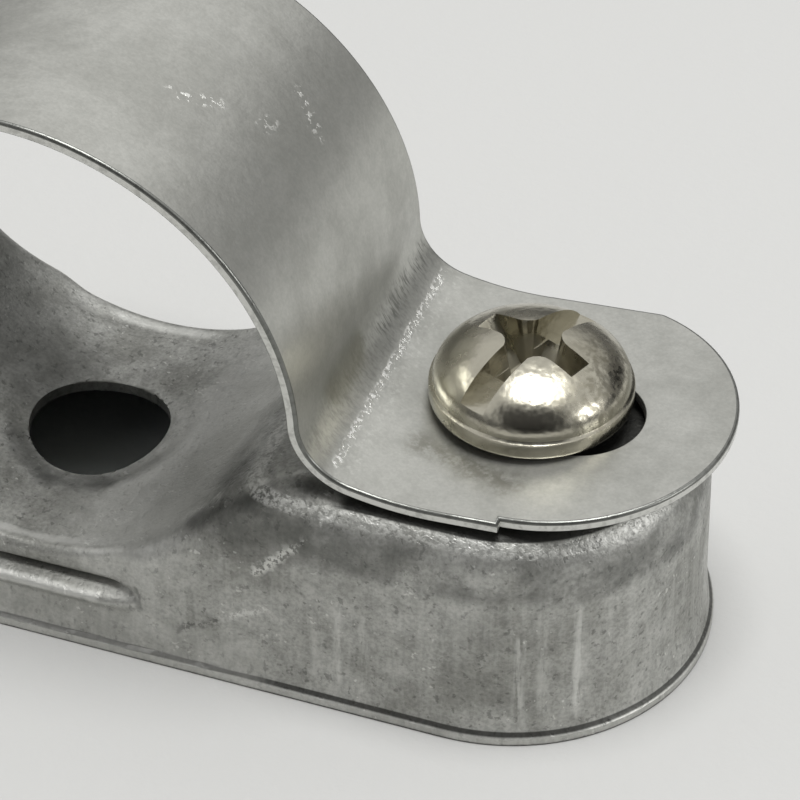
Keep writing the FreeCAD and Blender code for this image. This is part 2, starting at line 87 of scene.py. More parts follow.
def take(piece: bpy.types.Object) -> bpy.types.Object:
    """Selects one piece alone and makes it active.

    Args:
        piece: the object to work on.

    Returns:
        The same object.
    """
    leave_and_deselect()
    piece.select_set(True)
    bpy.context.view_layer.objects.active = piece
    return piece


def coordinates(piece: bpy.types.Object) -> np.ndarray:
    """The piece's vertices, one row each, in millimetres."""
    flat = np.empty(len(piece.data.vertices) * 3)
    piece.data.vertices.foreach_get("co", flat)
    return flat.reshape(-1, 3) / MM


def set_coordinates(piece: bpy.types.Object, places: np.ndarray) -> None:
    """Moves the piece's vertices.

    Args:
        piece: the object to reshape.
        places: one row for each vertex, in millimetres.
    """
    piece.data.vertices.foreach_set("co", (places * MM).ravel())
    piece.data.update()


def select_elements(piece: bpy.types.Object, kind: str, chosen: np.ndarray) -> None:
    """Marks some vertices, edges or faces of the piece, and opens it in edit mode.

    Args:
        piece: the object to open.
        kind: "VERT", "EDGE" or "FACE".
        chosen: a truth value for each element of that kind.
    """
    take(piece)
    bpy.ops.object.mode_set(mode="EDIT")
    bpy.ops.mesh.select_mode(type=kind)
    bpy.ops.mesh.select_all(action="DESELECT")
    bpy.ops.object.mode_set(mode="OBJECT")
    mesh = piece.data
    elements = {"VERT": mesh.vertices, "EDGE": mesh.edges, "FACE": mesh.polygons}[kind]
    elements.foreach_set("select", chosen.astype(bool))
    bpy.ops.object.mode_set(mode="EDIT")


def face_table(piece: bpy.types.Object) -> tuple[np.ndarray, np.ndarray]:
    """Centres, in millimetres, and normals of the piece's faces."""
    faces = piece.data.polygons
    centres, normals = np.empty(len(faces) * 3), np.empty(len(faces) * 3)
    faces.foreach_get("center", centres)
    faces.foreach_get("normal", normals)
    return centres.reshape(-1, 3) / MM, normals.reshape(-1, 3)


def apply_modifier(piece: bpy.types.Object, kind: str, **settings: object) -> None:
    """Adds a modifier, sets it and applies it.

    Args:
        piece: the object to change.
        kind: the modifier's type, such as "SOLIDIFY".
        settings: its properties.
    """
    take(piece)
    modifier = piece.modifiers.new(kind.title(), kind)
    for name, value in settings.items():
        setattr(modifier, name, value)
    bpy.ops.object.modifier_apply(modifier=modifier.name)


def combine(piece: bpy.types.Object, tool: bpy.types.Object, operation: str) -> None:
    """Joins a tool to the piece or cuts it out, and removes the tool.

    Args:
        piece: the object to change.
        tool: the closed object that is added or taken away.
        operation: "UNION", "DIFFERENCE" or "INTERSECT".
    """
    apply_modifier(piece, "BOOLEAN", operation=operation, solver="EXACT", object=tool)
    bpy.data.objects.remove(tool)


def face_outwards(piece: bpy.types.Object, merge: float = 0.0) -> None:
    """Merges a piece's doubles and turns its faces the same way, outwards if it is closed.

    Args:
        piece: the object to mend.
        merge: points nearer than this are merged, in millimetres. With 0, none are.
    """
    take(piece)
    bpy.ops.object.mode_set(mode="EDIT")
    bpy.ops.mesh.select_all(action="SELECT")
    if merge:
        bpy.ops.mesh.remove_doubles(threshold=merge * MM)
    bpy.ops.mesh.normals_make_consistent(inside=False)
    bpy.ops.object.mode_set(mode="OBJECT")


def merge_slivers(piece: bpy.types.Object) -> None:
    """Merges the points and edges of no length that cutting and bevelling leave behind."""
    take(piece)
    bpy.ops.object.mode_set(mode="EDIT")
    bpy.ops.mesh.select_all(action="SELECT")
    bpy.ops.mesh.remove_doubles(threshold=SLIVER * MM)
    bpy.ops.mesh.dissolve_degenerate(threshold=SLIVER * MM)
    bpy.ops.object.mode_set(mode="OBJECT")


def join(parts: list[bpy.types.Object]) -> bpy.types.Object:
    """Makes one object of several that don't touch.

    Args:
        parts: the objects. The first one stays.

    Returns:
        The joined object.
    """
    take(parts[0])
    for part in parts[1:]:
        part.select_set(True)
    bpy.ops.object.join()
    return parts[0]


def wrap_grid(name: str, around: int, along: int,
              shape: Callable[[np.ndarray, np.ndarray], np.ndarray]) -> bpy.types.Object:
    """A grid that is rolled up into a form, with its seam and poles closed.

    Args:
        name: the new object's name.
        around: divisions of the turn.
        along: divisions from the first ring to the last.
        shape: gives the places in millimetres, from the turn and the ring, both from 0 to 1.

    Returns:
        The new object, with its normals outwards.
    """
    leave_and_deselect()
    bpy.ops.mesh.primitive_grid_add(x_subdivisions=around, y_subdivisions=along, size=1.0)
    piece = bpy.context.object
    piece.name = name
    flat = coordinates(piece) * MM
    turn, ring = flat[:, 0] + 0.5, flat[:, 1] + 0.5
    set_coordinates(piece, shape(np.clip(turn, 0.0, 1.0), np.clip(ring, 0.0, 1.0)))
    face_outwards(piece, merge=SEAM)
    return piece


def smooth_by_angle(piece: bpy.types.Object, degrees: float) -> None:
    """Shades the piece smooth, apart from edges sharper than the angle."""
    take(piece)
    bpy.ops.object.shade_smooth_by_angle(angle=math.radians(degrees))


def hand_over(piece: bpy.types.Object, node: str) -> None:
    """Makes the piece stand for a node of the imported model, on the saddle's one body.

    Args:
        piece: the finished object.
        node: the name of the node that it replaces.
    """
    leave_and_deselect()
    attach(piece, BODY)
    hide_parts(node)
    triangles = sum(len(face.vertices) - 2 for face in piece.data.polygons)
    log.info("%s: %d triangles, stands for %s", piece.name, triangles, node)


def ease(value: np.ndarray, low: float, high: float) -> np.ndarray:
    """A smooth step from 0 at low to 1 at high."""
    share = np.clip((value - low) / (high - low), 0.0, 1.0)
    return share * share * (3.0 - 2.0 * share)


def hump(value: np.ndarray, middle: float, width: float) -> np.ndarray:
    """A rounded ridge of height 1."""
    return np.exp(-(((value - middle) / width) ** 2))


# ------------------------------------------------------------------------------- finishes

def linear(colour: str) -> tuple[float, float, float, float]:
    """A colour written as sRGB hex, such as "#A0A09C", as the linear values shaders take."""
    shares = [int(colour[at:at + 2], 16) / 255 for at in (1, 3, 5)]
    red, green, blue = (
        share / 12.92 if share <= 0.04045 else ((share + 0.055) / 1.055) ** 2.4 for share in shares
    )
    return red, green, blue, 1.0


def add_node(tree: bpy.types.NodeTree, kind: str, settings: dict[str, object] | None = None,
             inputs: dict[str | int, object] | None = None) -> bpy.types.Node:
    """Adds a node with its settings and links.

    Args:
        tree: the tree it goes into.
        kind: its type.
        settings: its own properties.
        inputs: for each input, by name or number, the socket that feeds it or its value.

    Returns:
        The new node.
    """
    node = tree.nodes.new(kind)
    for name, value in (settings or {}).items():
        setattr(node, name, value)
    for key, value in (inputs or {}).items():
        if isinstance(value, bpy.types.NodeSocket):
            tree.links.new(value, node.inputs[key])
        else:
            node.inputs[key].default_value = value
    return node


@dataclass(frozen=True)
class Cloud:
    """A field of soft blotches.

    low and high are where the field turns from 0 to 1: near each other, they give chips with
    clear edges. stretch draws the blotches out along an axis.
    """

    size: float
    low: float = 0.35
    high: float = 0.65
    detail: float = 3.0
    stretch: Place = (1.0, 1.0, 1.0)
    turn: Place = (0.0, 0.0, 0.0)
    shift: float = 0.0

    def draw(self, tree: bpy.types.NodeTree, place: bpy.types.NodeSocket) -> bpy.types.NodeSocket:
        """Adds the field to a material.

        Args:
            tree: the material's nodes.
            place: the piece's own coordinates.

        Returns:
            The socket that gives the field, from 0 to 1.
        """
        turned = add_node(tree, "ShaderNodeMapping", {}, {
            "Vector": place,
            "Rotation": tuple(math.radians(angle) for angle in self.turn),
        })
        drawn = add_node(tree, "ShaderNodeMapping", {}, {
            "Vector": turned.outputs[0],
            "Location": (self.shift, self.shift, self.shift),
            "Scale": tuple(1.0 / (self.size * MM * length) for length in self.stretch),
        })
        noise = add_node(tree, "ShaderNodeTexNoise", {}, {
            "Vector": drawn.outputs[0], "Scale": 1.0, "Detail": self.detail, "Roughness": 0.6,
        })
        spread = add_node(tree, "ShaderNodeMapRange", SOFT, {
            "Value": noise.outputs["Fac"], "From Min": self.low, "From Max": self.high,
        })
        return spread.outputs["Result"]


@dataclass(frozen=True)
class Band:
    """All between two places along one axis, with soft edges. By default a band round a piece."""

    low: float
    high: float
    soft: float = 0.1
    axis: str = "Z"

    def draw(self, tree: bpy.types.NodeTree, place: bpy.types.NodeSocket) -> bpy.types.NodeSocket:
        """Adds the band to a material.

        Args:
            tree: the material's nodes.
            place: the piece's own coordinates.

        Returns:
            The socket that is 1 in the band and 0 outside it.
        """
        height = add_node(tree, "ShaderNodeSeparateXYZ", {}, {0: place}).outputs[self.axis]
        away = add_node(tree, "ShaderNodeMath", {"operation": "SUBTRACT"}, {
            0: height, 1: (self.low + self.high) / 2 * MM,
        })
        apart = add_node(tree, "ShaderNodeMath", {"operation": "ABSOLUTE"}, {0: away.outputs[0]})
        half = abs(self.high - self.low) / 2
        return add_node(tree, "ShaderNodeMapRange", SOFT, {
            "Value": apart.outputs[0], "From Min": half * MM, "From Max": (half + self.soft) * MM,
            "To Min": 1.0, "To Max": 0.0,
        }).outputs["Result"]


@dataclass(frozen=True)
class Stroke:
    """A mark along a line on the surface, such as a scratch, with a ragged outline."""

    start: Place
    end: Place
    core: float
    reach: float
    ragged: float = 0.3
    grain: float = 0.6

    def on(self, side: Side, axis: int = 0) -> "Stroke":
        """The mark on one side of the saddle: on the left it is mirrored along the axis."""
        flip = Vector((1.0, 1.0, 1.0))
        flip[axis] = side.value
        return replace(self, start=tuple(Vector(self.start) * flip), end=tuple(Vector(self.end) * flip))

    def moved(self, step: Place) -> "Stroke":
        """The mark a step further on, in millimetres."""
        return replace(self, start=tuple(Vector(self.start) + Vector(step)),
                       end=tuple(Vector(self.end) + Vector(step)))

    def draw(self, tree: bpy.types.NodeTree, place: bpy.types.NodeSocket) -> bpy.types.NodeSocket:
        """Adds the mark to a material.

        Args:
            tree: the material's nodes.
            place: the piece's own coordinates.

        Returns:
            The socket that is 1 on the mark and 0 away from it.
        """
        along = (Vector(self.end) - Vector(self.start)) * MM
        waver = add_node(tree, "ShaderNodeTexNoise", {}, {
            "Vector": place, "Scale": 1.0 / (self.grain * MM), "Detail": 2.0,
        })
        level = add_node(tree, "ShaderNodeVectorMath", {"operation": "SUBTRACT"}, {
            0: waver.outputs["Color"], 1: (0.5, 0.5, 0.5),
        })
        moved = add_node(tree, "ShaderNodeVectorMath", {"operation": "MULTIPLY_ADD"}, {
            0: level.outputs[0], 1: (2 * self.ragged * MM,) * 3, 2: place,
        })
        from_start = add_node(tree, "ShaderNodeVectorMath", {"operation": "SUBTRACT"}, {
            0: moved.outputs[0], 1: Vector(self.start) * MM,
        })
        share = add_node(tree, "ShaderNodeVectorMath", {"operation": "DOT_PRODUCT"}, {
            0: from_start.outputs[0], 1: along / along.length_squared,
        })
        within = add_node(tree, "ShaderNodeClamp", {}, {"Value": share.outputs["Value"]})
        foot = add_node(tree, "ShaderNodeVectorMath", {"operation": "SCALE"}, {
            0: along, "Scale": within.outputs[0],
        })
        away = add_node(tree, "ShaderNodeVectorMath", {"operation": "DISTANCE"}, {
            0: from_start.outputs[0], 1: foot.outputs[0],
        })
        fade = add_node(tree, "ShaderNodeMapRange", SOFT, {
            "Value": away.outputs["Value"],
            "From Min": self.core * MM, "From Max": self.reach * MM, "To Min": 1.0, "To Max": 0.0,
        })
        return fade.outputs["Result"]


Pattern = Cloud | Band | Stroke | bpy.types.NodeSocket


class Finish:
    """A material that is built up in layers over one bare metal."""

    def __init__(self, name: str, bare: str, roughness: float, metallic: float = 1.0) -> None:
        """Starts the material.

        Args:
            name: the material's name.
            bare: its colour, as sRGB hex.
            roughness: its roughness where nothing changes it.
            metallic: below 1 where a dull oxide or a coat covers part of the metal.
        """
        self.material = bpy.data.materials.new(name)
        self.material.use_nodes = True
        self.tree = self.material.node_tree
        self.tree.nodes.clear()
        self.place = add_node(self.tree, "ShaderNodeTexCoord").outputs["Object"]
        self.normal = add_node(self.tree, "ShaderNodeTexCoord").outputs["Normal"]
        self.shader = add_node(self.tree, "ShaderNodeBsdfPrincipled", {}, {
            "Base Color": linear(bare), "Metallic": metallic, "Roughness": roughness,
        })
        add_node(self.tree, "ShaderNodeOutputMaterial", {}, {"Surface": self.shader.outputs[0]})
        self.colour: object = linear(bare)
        self.roughness: object = roughness
        self.height: bpy.types.NodeSocket | None = None

    def field(self, *patterns: Pattern) -> bpy.types.NodeSocket:
        """Where all of the patterns are present.

        Args:
            patterns: fields, marks, or sockets that are already drawn.

        Returns:
            Their product.
        """
        drawn = [pattern if isinstance(pattern, bpy.types.NodeSocket)
                 else pattern.draw(self.tree, self.place) for pattern in patterns]
        result = drawn[0]
        for other in drawn[1:]:
            result = add_node(self.tree, "ShaderNodeMath", {"operation": "MULTIPLY"}, {
                0: result, 1: other,
            }).outputs[0]
        return result

    def upright(self) -> bpy.types.NodeSocket:
        """1 on walls and 0 on faces that look up or down."""
        parts = add_node(self.tree, "ShaderNodeSeparateXYZ", {}, {0: self.normal})
        steep = add_node(self.tree, "ShaderNodeMath", {"operation": "ABSOLUTE"}, {
            0: parts.outputs["Z"],
        })
        return add_node(self.tree, "ShaderNodeMapRange", SOFT, {
            "Value": steep.outputs[0], "From Min": 0.25, "From Max": 0.7, "To Min": 1.0, "To Max": 0.0,
        }).outputs["Result"]

    def tint(self, where: bpy.types.NodeSocket, colour: str, strength: float = 1.0) -> None:
        """Lays a colour over the metal.

        Args:
            where: 1 where the colour lies.
            colour: sRGB hex.
            strength: how much of it shows.
        """
        amount = add_node(self.tree, "ShaderNodeMath", {"operation": "MULTIPLY"}, {
            0: where, 1: strength,
        })
        self.colour = add_node(self.tree, "ShaderNodeMix", {"data_type": "RGBA"}, {
            0: amount.outputs[0], 6: self.colour, 7: linear(colour),
        }).outputs[2]

    def roughen(self, where: bpy.types.NodeSocket, change: float) -> None:
        """Makes the metal duller, or brighter if the change is negative, where the field is 1."""
        self.roughness = add_node(self.tree, "ShaderNodeMath", {
            "operation": "MULTIPLY_ADD", "use_clamp": True,
        }, {0: where, 1: change, 2: self.roughness}).outputs[0]

    def raise_by(self, where: bpy.types.NodeSocket, height: float) -> None:
        """Raises the surface by a height in millimetres, or sinks it if that is negative."""
        self.height = add_node(self.tree, "ShaderNodeMath", {"operation": "MULTIPLY_ADD"}, {
            0: where, 1: height * MM, 2: 0.0 if self.height is None else self.height,
        }).outputs[0]

    def lay(self, *patterns: Pattern, colour: str = "", strength: float = 1.0, dull: float = 0.0,
            height: float = 0.0) -> None:
        """Lays one kind of mark over the metal, where all of its patterns are present.

        Args:
            patterns: fields, marks, or sockets that are already drawn.
            colour: sRGB hex, if the mark has a colour.
            strength: how much of the colour shows.
            dull: the change of roughness, negative where the mark is brighter.
            height: how far the mark stands out, in millimetres, negative where it is sunk.
        """
        where = self.field(*patterns)
        if colour:
            self.tint(where, colour, strength)
        if dull:
            self.roughen(where, dull)
        if height:
            self.raise_by(where, height)

    def done(self) -> bpy.types.Material:
        """Links the layers to the shader and gives the material."""
        if isinstance(self.colour, bpy.types.NodeSocket):
            self.tree.links.new(self.colour, self.shader.inputs["Base Color"])
        if isinstance(self.roughness, bpy.types.NodeSocket):
            self.tree.links.new(self.roughness, self.shader.inputs["Roughness"])
        if self.height is not None:
            bump = add_node(self.tree, "ShaderNodeBump", {}, {
                "Height": self.height, "Distance": 1.0, "Strength": 1.0,
            })
            self.tree.links.new(bump.outputs[0], self.shader.inputs["Normal"])
        return self.material


@dataclass(frozen=True)
class StripZinc:
    """Cold-rolled, galvanised strip, bent after it was coated.

    A thin dull oxide covers the zinc, so it is less than fully metallic. It is even, with faint
    patches, small fresh chips, and rubbed specks where the strip was bent over the tool.
    """

    bare: str = "#B9B9B3"
    dull: str = "#A2A29C"
    fresh: str = "#EDEDE8"
    soot: str = "#5C5D58"
    # Tone of the painted shadow on the ears round the screw heads.
    screw_shadow_tone: str = "#5C594A"
    stain: str = "#6E6C58"
    roughness: float = 0.33
    metallic: float = 0.72
    chips: tuple[Stroke, ...] = (
        Stroke((5.0, -1.6, 22.9), (6.5, -0.8, 22.2), 0.12, 0.5, 0.3, 0.8),
        Stroke((7.8, 0.0, 21.1), (8.0, 0.5, 20.9), 0.12, 0.5, 0.3, 0.8),
        Stroke((8.2, 2.9, 20.7), (9.2, 2.1, 19.6), 0.12, 0.5, 0.3, 0.8),
    )
    bend_specks: Stroke = Stroke((12.9, -6.2, 10.9), (12.9, 6.4, 10.9), 0.04, 0.26, 0.12, 0.8)
    bend_halo: Stroke = Stroke((13.2, -6.8, 10.7), (13.2, 6.8, 10.7), 0.2, 0.9, 0.3)
    worked_zone: Stroke = Stroke((12.2, -6.6, 11.6), (12.2, 6.8, 11.6), 0.4, 1.1, 0.3, 2.0)
    tool_hatch: Stroke = Stroke((12.25, 1.2, 11.9), (12.25, 6.4, 11.9), 0.3, 0.7, 0.15)
    # Painted shadow on the ear, at the front and inner side of the screw head.
    painted_screw_shadow: Stroke = Stroke((15.4, -3.4, 10.3), (19.0, -4.6, 10.4), 0.0, 1.1, 0.5, 0.8)
    bend_stain: Stroke = Stroke((12.0, -3.6, 12.4), (12.1, -1.0, 12.2), 0.3, 1.1, 0.4, 1.5)

    def make(self) -> bpy.types.Material:
        """The material."""
        finish = Finish("galvanised strip", self.bare, self.roughness, self.metallic)
        patches, mottle = Cloud(4.0, 0.38, 0.64, 5.0), Cloud(0.5, 0.35, 0.7, 4.0, shift=5.0)
        finish.lay(patches, colour=self.dull, strength=0.8, dull=0.06, height=0.012)
        finish.lay(mottle, colour=self.soot, strength=0.10, height=0.003)
        finish.lay(Cloud(0.14, 0.3, 0.7, 2.0), colour=self.soot, strength=0.12, height=0.0012)
        for side in Side:
            chipped = Cloud(0.22, 0.55, 0.60, 3.0, stretch=(1.5, 1.0, 1.5), shift=4.0)
            for chip in self.chips:
                finish.lay(chip.on(side), chipped, colour=self.fresh, strength=0.75, height=0.010)
            finish.lay(self.bend_specks.on(side), Cloud(0.17, 0.50, 0.56, 2.0, shift=6.0),
                       colour=self.fresh, strength=0.95, dull=-0.12, height=0.012)
            finish.lay(self.bend_halo.on(side), Cloud(0.2, 0.5, 0.66, 3.0, shift=8.0),
                       colour=self.fresh, strength=0.16)
            finish.lay(self.worked_zone.on(side),
                       Cloud(0.16, 0.42, 0.66, 3.0, stretch=(2.5, 1.0, 2.5), shift=3.0),
                       colour=self.soot, strength=0.30)
            finish.lay(self.tool_hatch.on(side),
                       Cloud(0.13, 0.50, 0.62, 1.0, stretch=(5.0, 1.0, 5.0), shift=3.0),
                       colour=self.soot, strength=0.6)
            # Painted shadow round the front and inner side of each screw head.
            finish.lay(self.painted_screw_shadow.on(side), Cloud(0.35, 0.25, 0.6, 3.0),
                       colour=self.screw_shadow_tone, strength=0.55)
            finish.lay(self.bend_stain.on(side), colour=self.stain, strength=0.45)
        return finish.done()


@dataclass(frozen=True)
class ShearedEdge:
    """The cut edge of the strip: bright bare steel, drawn across by the shears."""

    name: str = "sheared strip edge"
    bare: str = "#D6D6D1"
    torn: str = "#7C7C77"
    roughness: float = 0.34
    metallic: float = 0.85

    def make(self) -> bpy.types.Material:
        """The material."""
        finish = Finish(self.name, self.bare, self.roughness, self.metallic)
        finish.lay(Cloud(0.30, 0.45, 0.70, 2.0), colour=self.torn, strength=0.35, height=-0.004)
        return finish.done()


@dataclass(frozen=True)
class ShadedRolledShoulder(ShearedEdge):
    """The strip's shoulder, where the shears entered and rolled the dull coat over the edge.

    Its dark colour is partly painted shade.
    """

    name: str = "rolled strip shoulder with painted shade"
    # Darker than the coat: partly painted shade, for the dark that the rounded edge reflects.
    bare: str = "#7A7B77"
    torn: str = "#4C4D49"


@dataclass(frozen=True)
class DrawnZinc:
    """Galvanised sheet after deep drawing.

    The die leaves the coat dark and mottled, with upright draw marks on the walls, small nicks
    and a bright rubbed line round the shoulder, partly a painted highlight. Light and shade are
    painted on as well: black painted shadow under the ears, painted shade round the shoulders, in
    the creases and along the foot, painted highlights on the lips and beads, a lit and a shaded
    side of the cradle, and a painted lighter band low on the front wall.
    """

    bare: str = "#BCBCB7"
    dull: str = "#9C9C96"
    # Also the tone of painted shade: round the pillars' turn-over, in the hook and on the cradle's
    # shaded side.
    soot: str = "#50514D"
    # Near black: a dark graze and the brim line, and painted shade under the ears, along the shoulders,
    # in the creases under the lips and where the foot meets the table.
    oil_and_shade: str = "#22221F"
    # Also the tone of painted highlights and light: the shoulder ridge, lips, beads, the cradle's lit
    # side and the low front wall.
    fresh: str = "#E3E3DE"
    roughness: float = 0.44
    metallic: float = 0.65
    # The die's upright marks: x, y, lower end, upper end and strength.
    die_marks: tuple[tuple[float, float, float, float, float], ...] = (
        (20.7, -7.5, 0.5, 5.2, 0.50), (22.7, -6.4, 0.4, 6.6, 0.55), (21.5, -7.1, 1.5, 5.8, 0.30),
        (13.5, -8.0, 0.8, 5.0, 0.40), (14.6, -8.0, 0.9, 4.8, 0.35), (12.6, -8.0, 1.2, 4.2, 0.25),
    )
    # The painted shade where the shoulder's top sheet turns over, from end to end, with its strength leg
    # by leg.
    painted_shoulder_shade: tuple[Place, ...] = (
        (4.8, -7.5, 5.1), (7.1, -7.0, 6.8), (9.7, -7.2, 8.8), (12.6, -6.4, 9.8),
    )
    painted_shoulder_shade_strengths: tuple[float, ...] = (0.55, 0.85, 0.85)
    # From the painted shade to the painted highlight of the lit ridge above it.
    shade_to_painted_highlight: Place = (0.0, 0.7, 0.3)
    grime: Stroke = Stroke((8.6, -7.9, 7.2), (12.6, -7.9, 8.0), 0.0, 1.9, 0.7, 1.2)
    scrapes: tuple[Stroke, ...] = (
        Stroke((10.12, -7.91, 5.9), (11.58, -7.86, 7.5), 0.04, 0.40, 0.3, 0.4),
        Stroke((11.58, -7.86, 7.5), (13.03, -7.36, 9.15), 0.04, 0.20, 0.3, 0.4),
    )
    dark_graze: Stroke = Stroke((6.8, -8.05, 1.95), (8.9, -8.0, 3.1), 0.06, 0.30, 0.35, 0.5)
    light_graze: Stroke = Stroke((8.6, -8.0, 2.95), (10.5, -7.97, 4.2), 0.06, 0.30, 0.35, 0.5)
    hook: Stroke = Stroke((4.95, -8.0, 3.35), (5.1, -8.0, 2.5), 0.03, 0.22, 0.06)
    # The cradle's sides: a painted highlight along the upper edge, painted shadow in the crease beneath
    # it, and a painted highlight on the bead.
    painted_lip_highlight: Stroke = Stroke((-4.9, 6.96, 4.12), (4.9, 6.96, 4.12), 0.10, 0.36, 0.12)
    painted_fold_shadow: Stroke = Stroke((-4.9, 7.2, 3.14), (4.9, 7.2, 3.14), 0.15, 0.34, 0.05)
    bead: Stroke = Stroke((-3.2, 8.16, 2.62), (3.2, 8.16, 2.62), 0.08, 0.38, 0.15)
    # Painted light on the cradle's right side, and painted shadow on its left, where the hoop and the
    # left ear shade it.
    painted_cradle_light: Stroke = Stroke((4.5, -4.5, 5.0), (8.0, 5.0, 7.0), 1.5, 5.5, 0.8)
    painted_cradle_shadow: Stroke = Stroke((-3.6, 2.0, 5.0), (-6.5, 5.0, 7.0), 1.0, 4.0, 0.8)
    # Painted light: a lighter band low on the front wall.
    painted_lower_wall_light: Stroke = Stroke((-8.0, -8.2, 1.2), (9.5, -8.1, 1.0), 0.4, 1.9, 0.8)
    # What the punch darkened beside the fixing hole, with its strength leg by leg.
    punch_arc: tuple[Place, ...] = (
        (-2.9, -2.0, 4.4), (-0.8, -3.55, 4.1), (1.6, -3.25, 4.1), (3.1, -1.6, 4.5),
    )
    punch_strengths: tuple[float, ...] = (0.70, 0.60, 0.35)

    def mottle(self, finish: Finish) -> None:
        """Lays on the mottled coat, with its tooth."""
        nicks = Cloud(0.22, 0.64, 0.70, 2.0, stretch=(2.2, 1.0, 1.4), turn=(0.0, 20.0, 25.0), shift=13.0)
        for patterns, colour, strength, dull, height in (
            ((Cloud(3.2, 0.38, 0.64, 5.0),), self.dull, 0.9, 0.08, 0.03),
            ((Cloud(0.8, 0.42, 0.66, 5.0, shift=5.0),), self.soot, 0.22, 0.0, 0.010),
            ((Cloud(0.16, 0.36, 0.66, 3.0),), self.soot, 0.30, 0.0, 0.003),
            ((Cloud(0.32, 0.60, 0.68, 2.0, shift=9.0),), self.soot, 0.45, 0.0, -0.008),
            ((nicks, Cloud(2.5, 0.48, 0.6, 1.0, shift=17.0)), self.fresh, 0.6, 0.0, 0.008),
        ):
            finish.lay(*patterns, colour=colour, strength=strength, dull=dull, height=height)

    def draw_marks(self, finish: Finish) -> None:
        """Lays on the upright marks of the die."""
        finish.lay(Cloud(0.35, 0.42, 0.72, 2.0, stretch=(1.0, 1.0, 14.0), shift=7.0), finish.upright(),
                   colour=self.fresh, strength=0.16, height=0.006)
        worn = Cloud(0.25, 0.35, 0.6, 3.0, stretch=(1.0, 1.0, 7.0), shift=2.0)
        for x, y, low, high, strength in self.die_marks:
            mark = Stroke((x, y, low), (x, y, high), 0.05, 0.30, 0.12, 0.5)
            for side in Side:
                finish.lay(mark.on(side), worn, colour=self.fresh, strength=strength, height=0.006)

    def scars(self, finish: Finish) -> None:
        """Lays on the scrape of the wall, the painted shade and painted highlight where the shoulder
        turns over, and the pressed hook, darkened with painted shade.
        """
        for side in Side:
            for start, end, strength in zip(self.painted_shoulder_shade, self.painted_shoulder_shade[1:], self.painted_shoulder_shade_strengths):
                # Painted shade where the shoulder turns over.
                finish.lay(Stroke(start, end, 0.02, 0.80, 0.35, 0.9).on(side),
                           colour=self.oil_and_shade, strength=strength * 0.8)
                # Painted highlight: the lit ridge just above that shade.
                ridge = Stroke(start, end, 0.03, 0.28, 0.3, 0.6).moved(self.shade_to_painted_highlight)
                finish.lay(ridge.on(side), Cloud(0.3, 0.4, 0.6, 3.0), colour=self.fresh, strength=0.5)
            finish.lay(self.grime.on(side), colour=self.soot, strength=0.40)
            for scrape in self.scrapes:
                finish.lay(scrape.on(side), Cloud(0.22, 0.42, 0.50, 2.0, shift=3.0),
                           colour=self.fresh, strength=0.85, height=0.015)
            for graze, colour in ((self.dark_graze, self.oil_and_shade), (self.light_graze, self.fresh)):
                finish.lay(graze.on(side), Cloud(0.2, 0.44, 0.54, 2.0, shift=5.0),
                           colour=colour, strength=0.6)
            # Painted shade in the pressed hook, together with its sunken dent.
            finish.lay(self.hook.on(side), colour=self.soot, strength=0.5, height=-0.06)

    def seams(self, finish: Finish) -> None:
        """Lays on what the tool left, with painted light and shade.

        Rubbed lines, one partly a painted highlight; black painted shadow under the ears; painted
        shade round the shoulders and along the foot; painted highlights and shadow on the sides of
        the cradle; a lit and a shaded side of the cradle; a lighter band low on the front wall; and
        what the punch darkened.
        """
        # A rubbed line round the pillars, partly a painted highlight where their top edge turns over.
        finish.lay(Band(9.04, 9.36, 0.12), Cloud(0.20, 0.40, 0.60, 3.0, shift=3.0),
                   colour=self.fresh, strength=0.45, height=0.006)
        for side in Side:
            shadow_under_ear = Band(side.value * 13.6, side.value * 30.0, 0.9, "X")
            # Painted shadow: black on the pillar tops, in the gap under each ear.
            finish.lay(Band(9.48, 9.95, 0.06), shadow_under_ear, colour=self.oil_and_shade, strength=0.95)
        # Painted shade, mottled, round the pillars where they turn over.
        finish.lay(Band(7.4, 8.5, 0.9), Cloud(2.2, 0.30, 0.62, 3.0, shift=21.0),
                   colour=self.soot, strength=0.60)
        # The brim, from its groove down: dark, then rubbed bright, then dark at the table, which is
        # painted contact shade.
        finish.lay(Band(0.46, 0.56, 0.06), colour=self.oil_and_shade, strength=0.80)
        finish.lay(Band(0.14, 0.38, 0.06), colour=self.fresh, strength=0.35)
        finish.lay(Band(-0.2, 0.04, 0.05), colour=self.oil_and_shade, strength=0.8)
        for side in Side:
            # Painted highlights on the upper edge and the bead, painted shadow in the crease between.
            for crease, colour, strength in ((self.painted_lip_highlight, self.fresh, 0.55), (self.painted_fold_shadow, self.oil_and_shade, 0.6),
                                             (self.bead, self.fresh, 0.65)):
                finish.lay(crease.on(side, axis=1), colour=colour, strength=strength)
        # Painted light on the cradle's right side, painted shadow on its left.
        finish.lay(self.painted_cradle_light, colour=self.fresh, strength=0.55)
        finish.lay(self.painted_cradle_shadow, colour=self.soot, strength=0.65)
        # Painted light low on the front wall.
        finish.lay(self.painted_lower_wall_light, colour=self.fresh, strength=0.25)
        for start, end, strength in zip(self.punch_arc, self.punch_arc[1:], self.punch_strengths):
            finish.lay(Stroke(start, end, 0.02, 0.95, 0.35, 0.6),
                       colour=self.soot, strength=strength, height=-0.02)

    def make(self) -> bpy.types.Material:
        """The material."""
        finish = Finish("deep-drawn zinc", self.bare, self.roughness, self.metallic)
        for layer in (self.mottle, self.draw_marks, self.scars, self.seams):
            layer(finish)
        return finish.done()


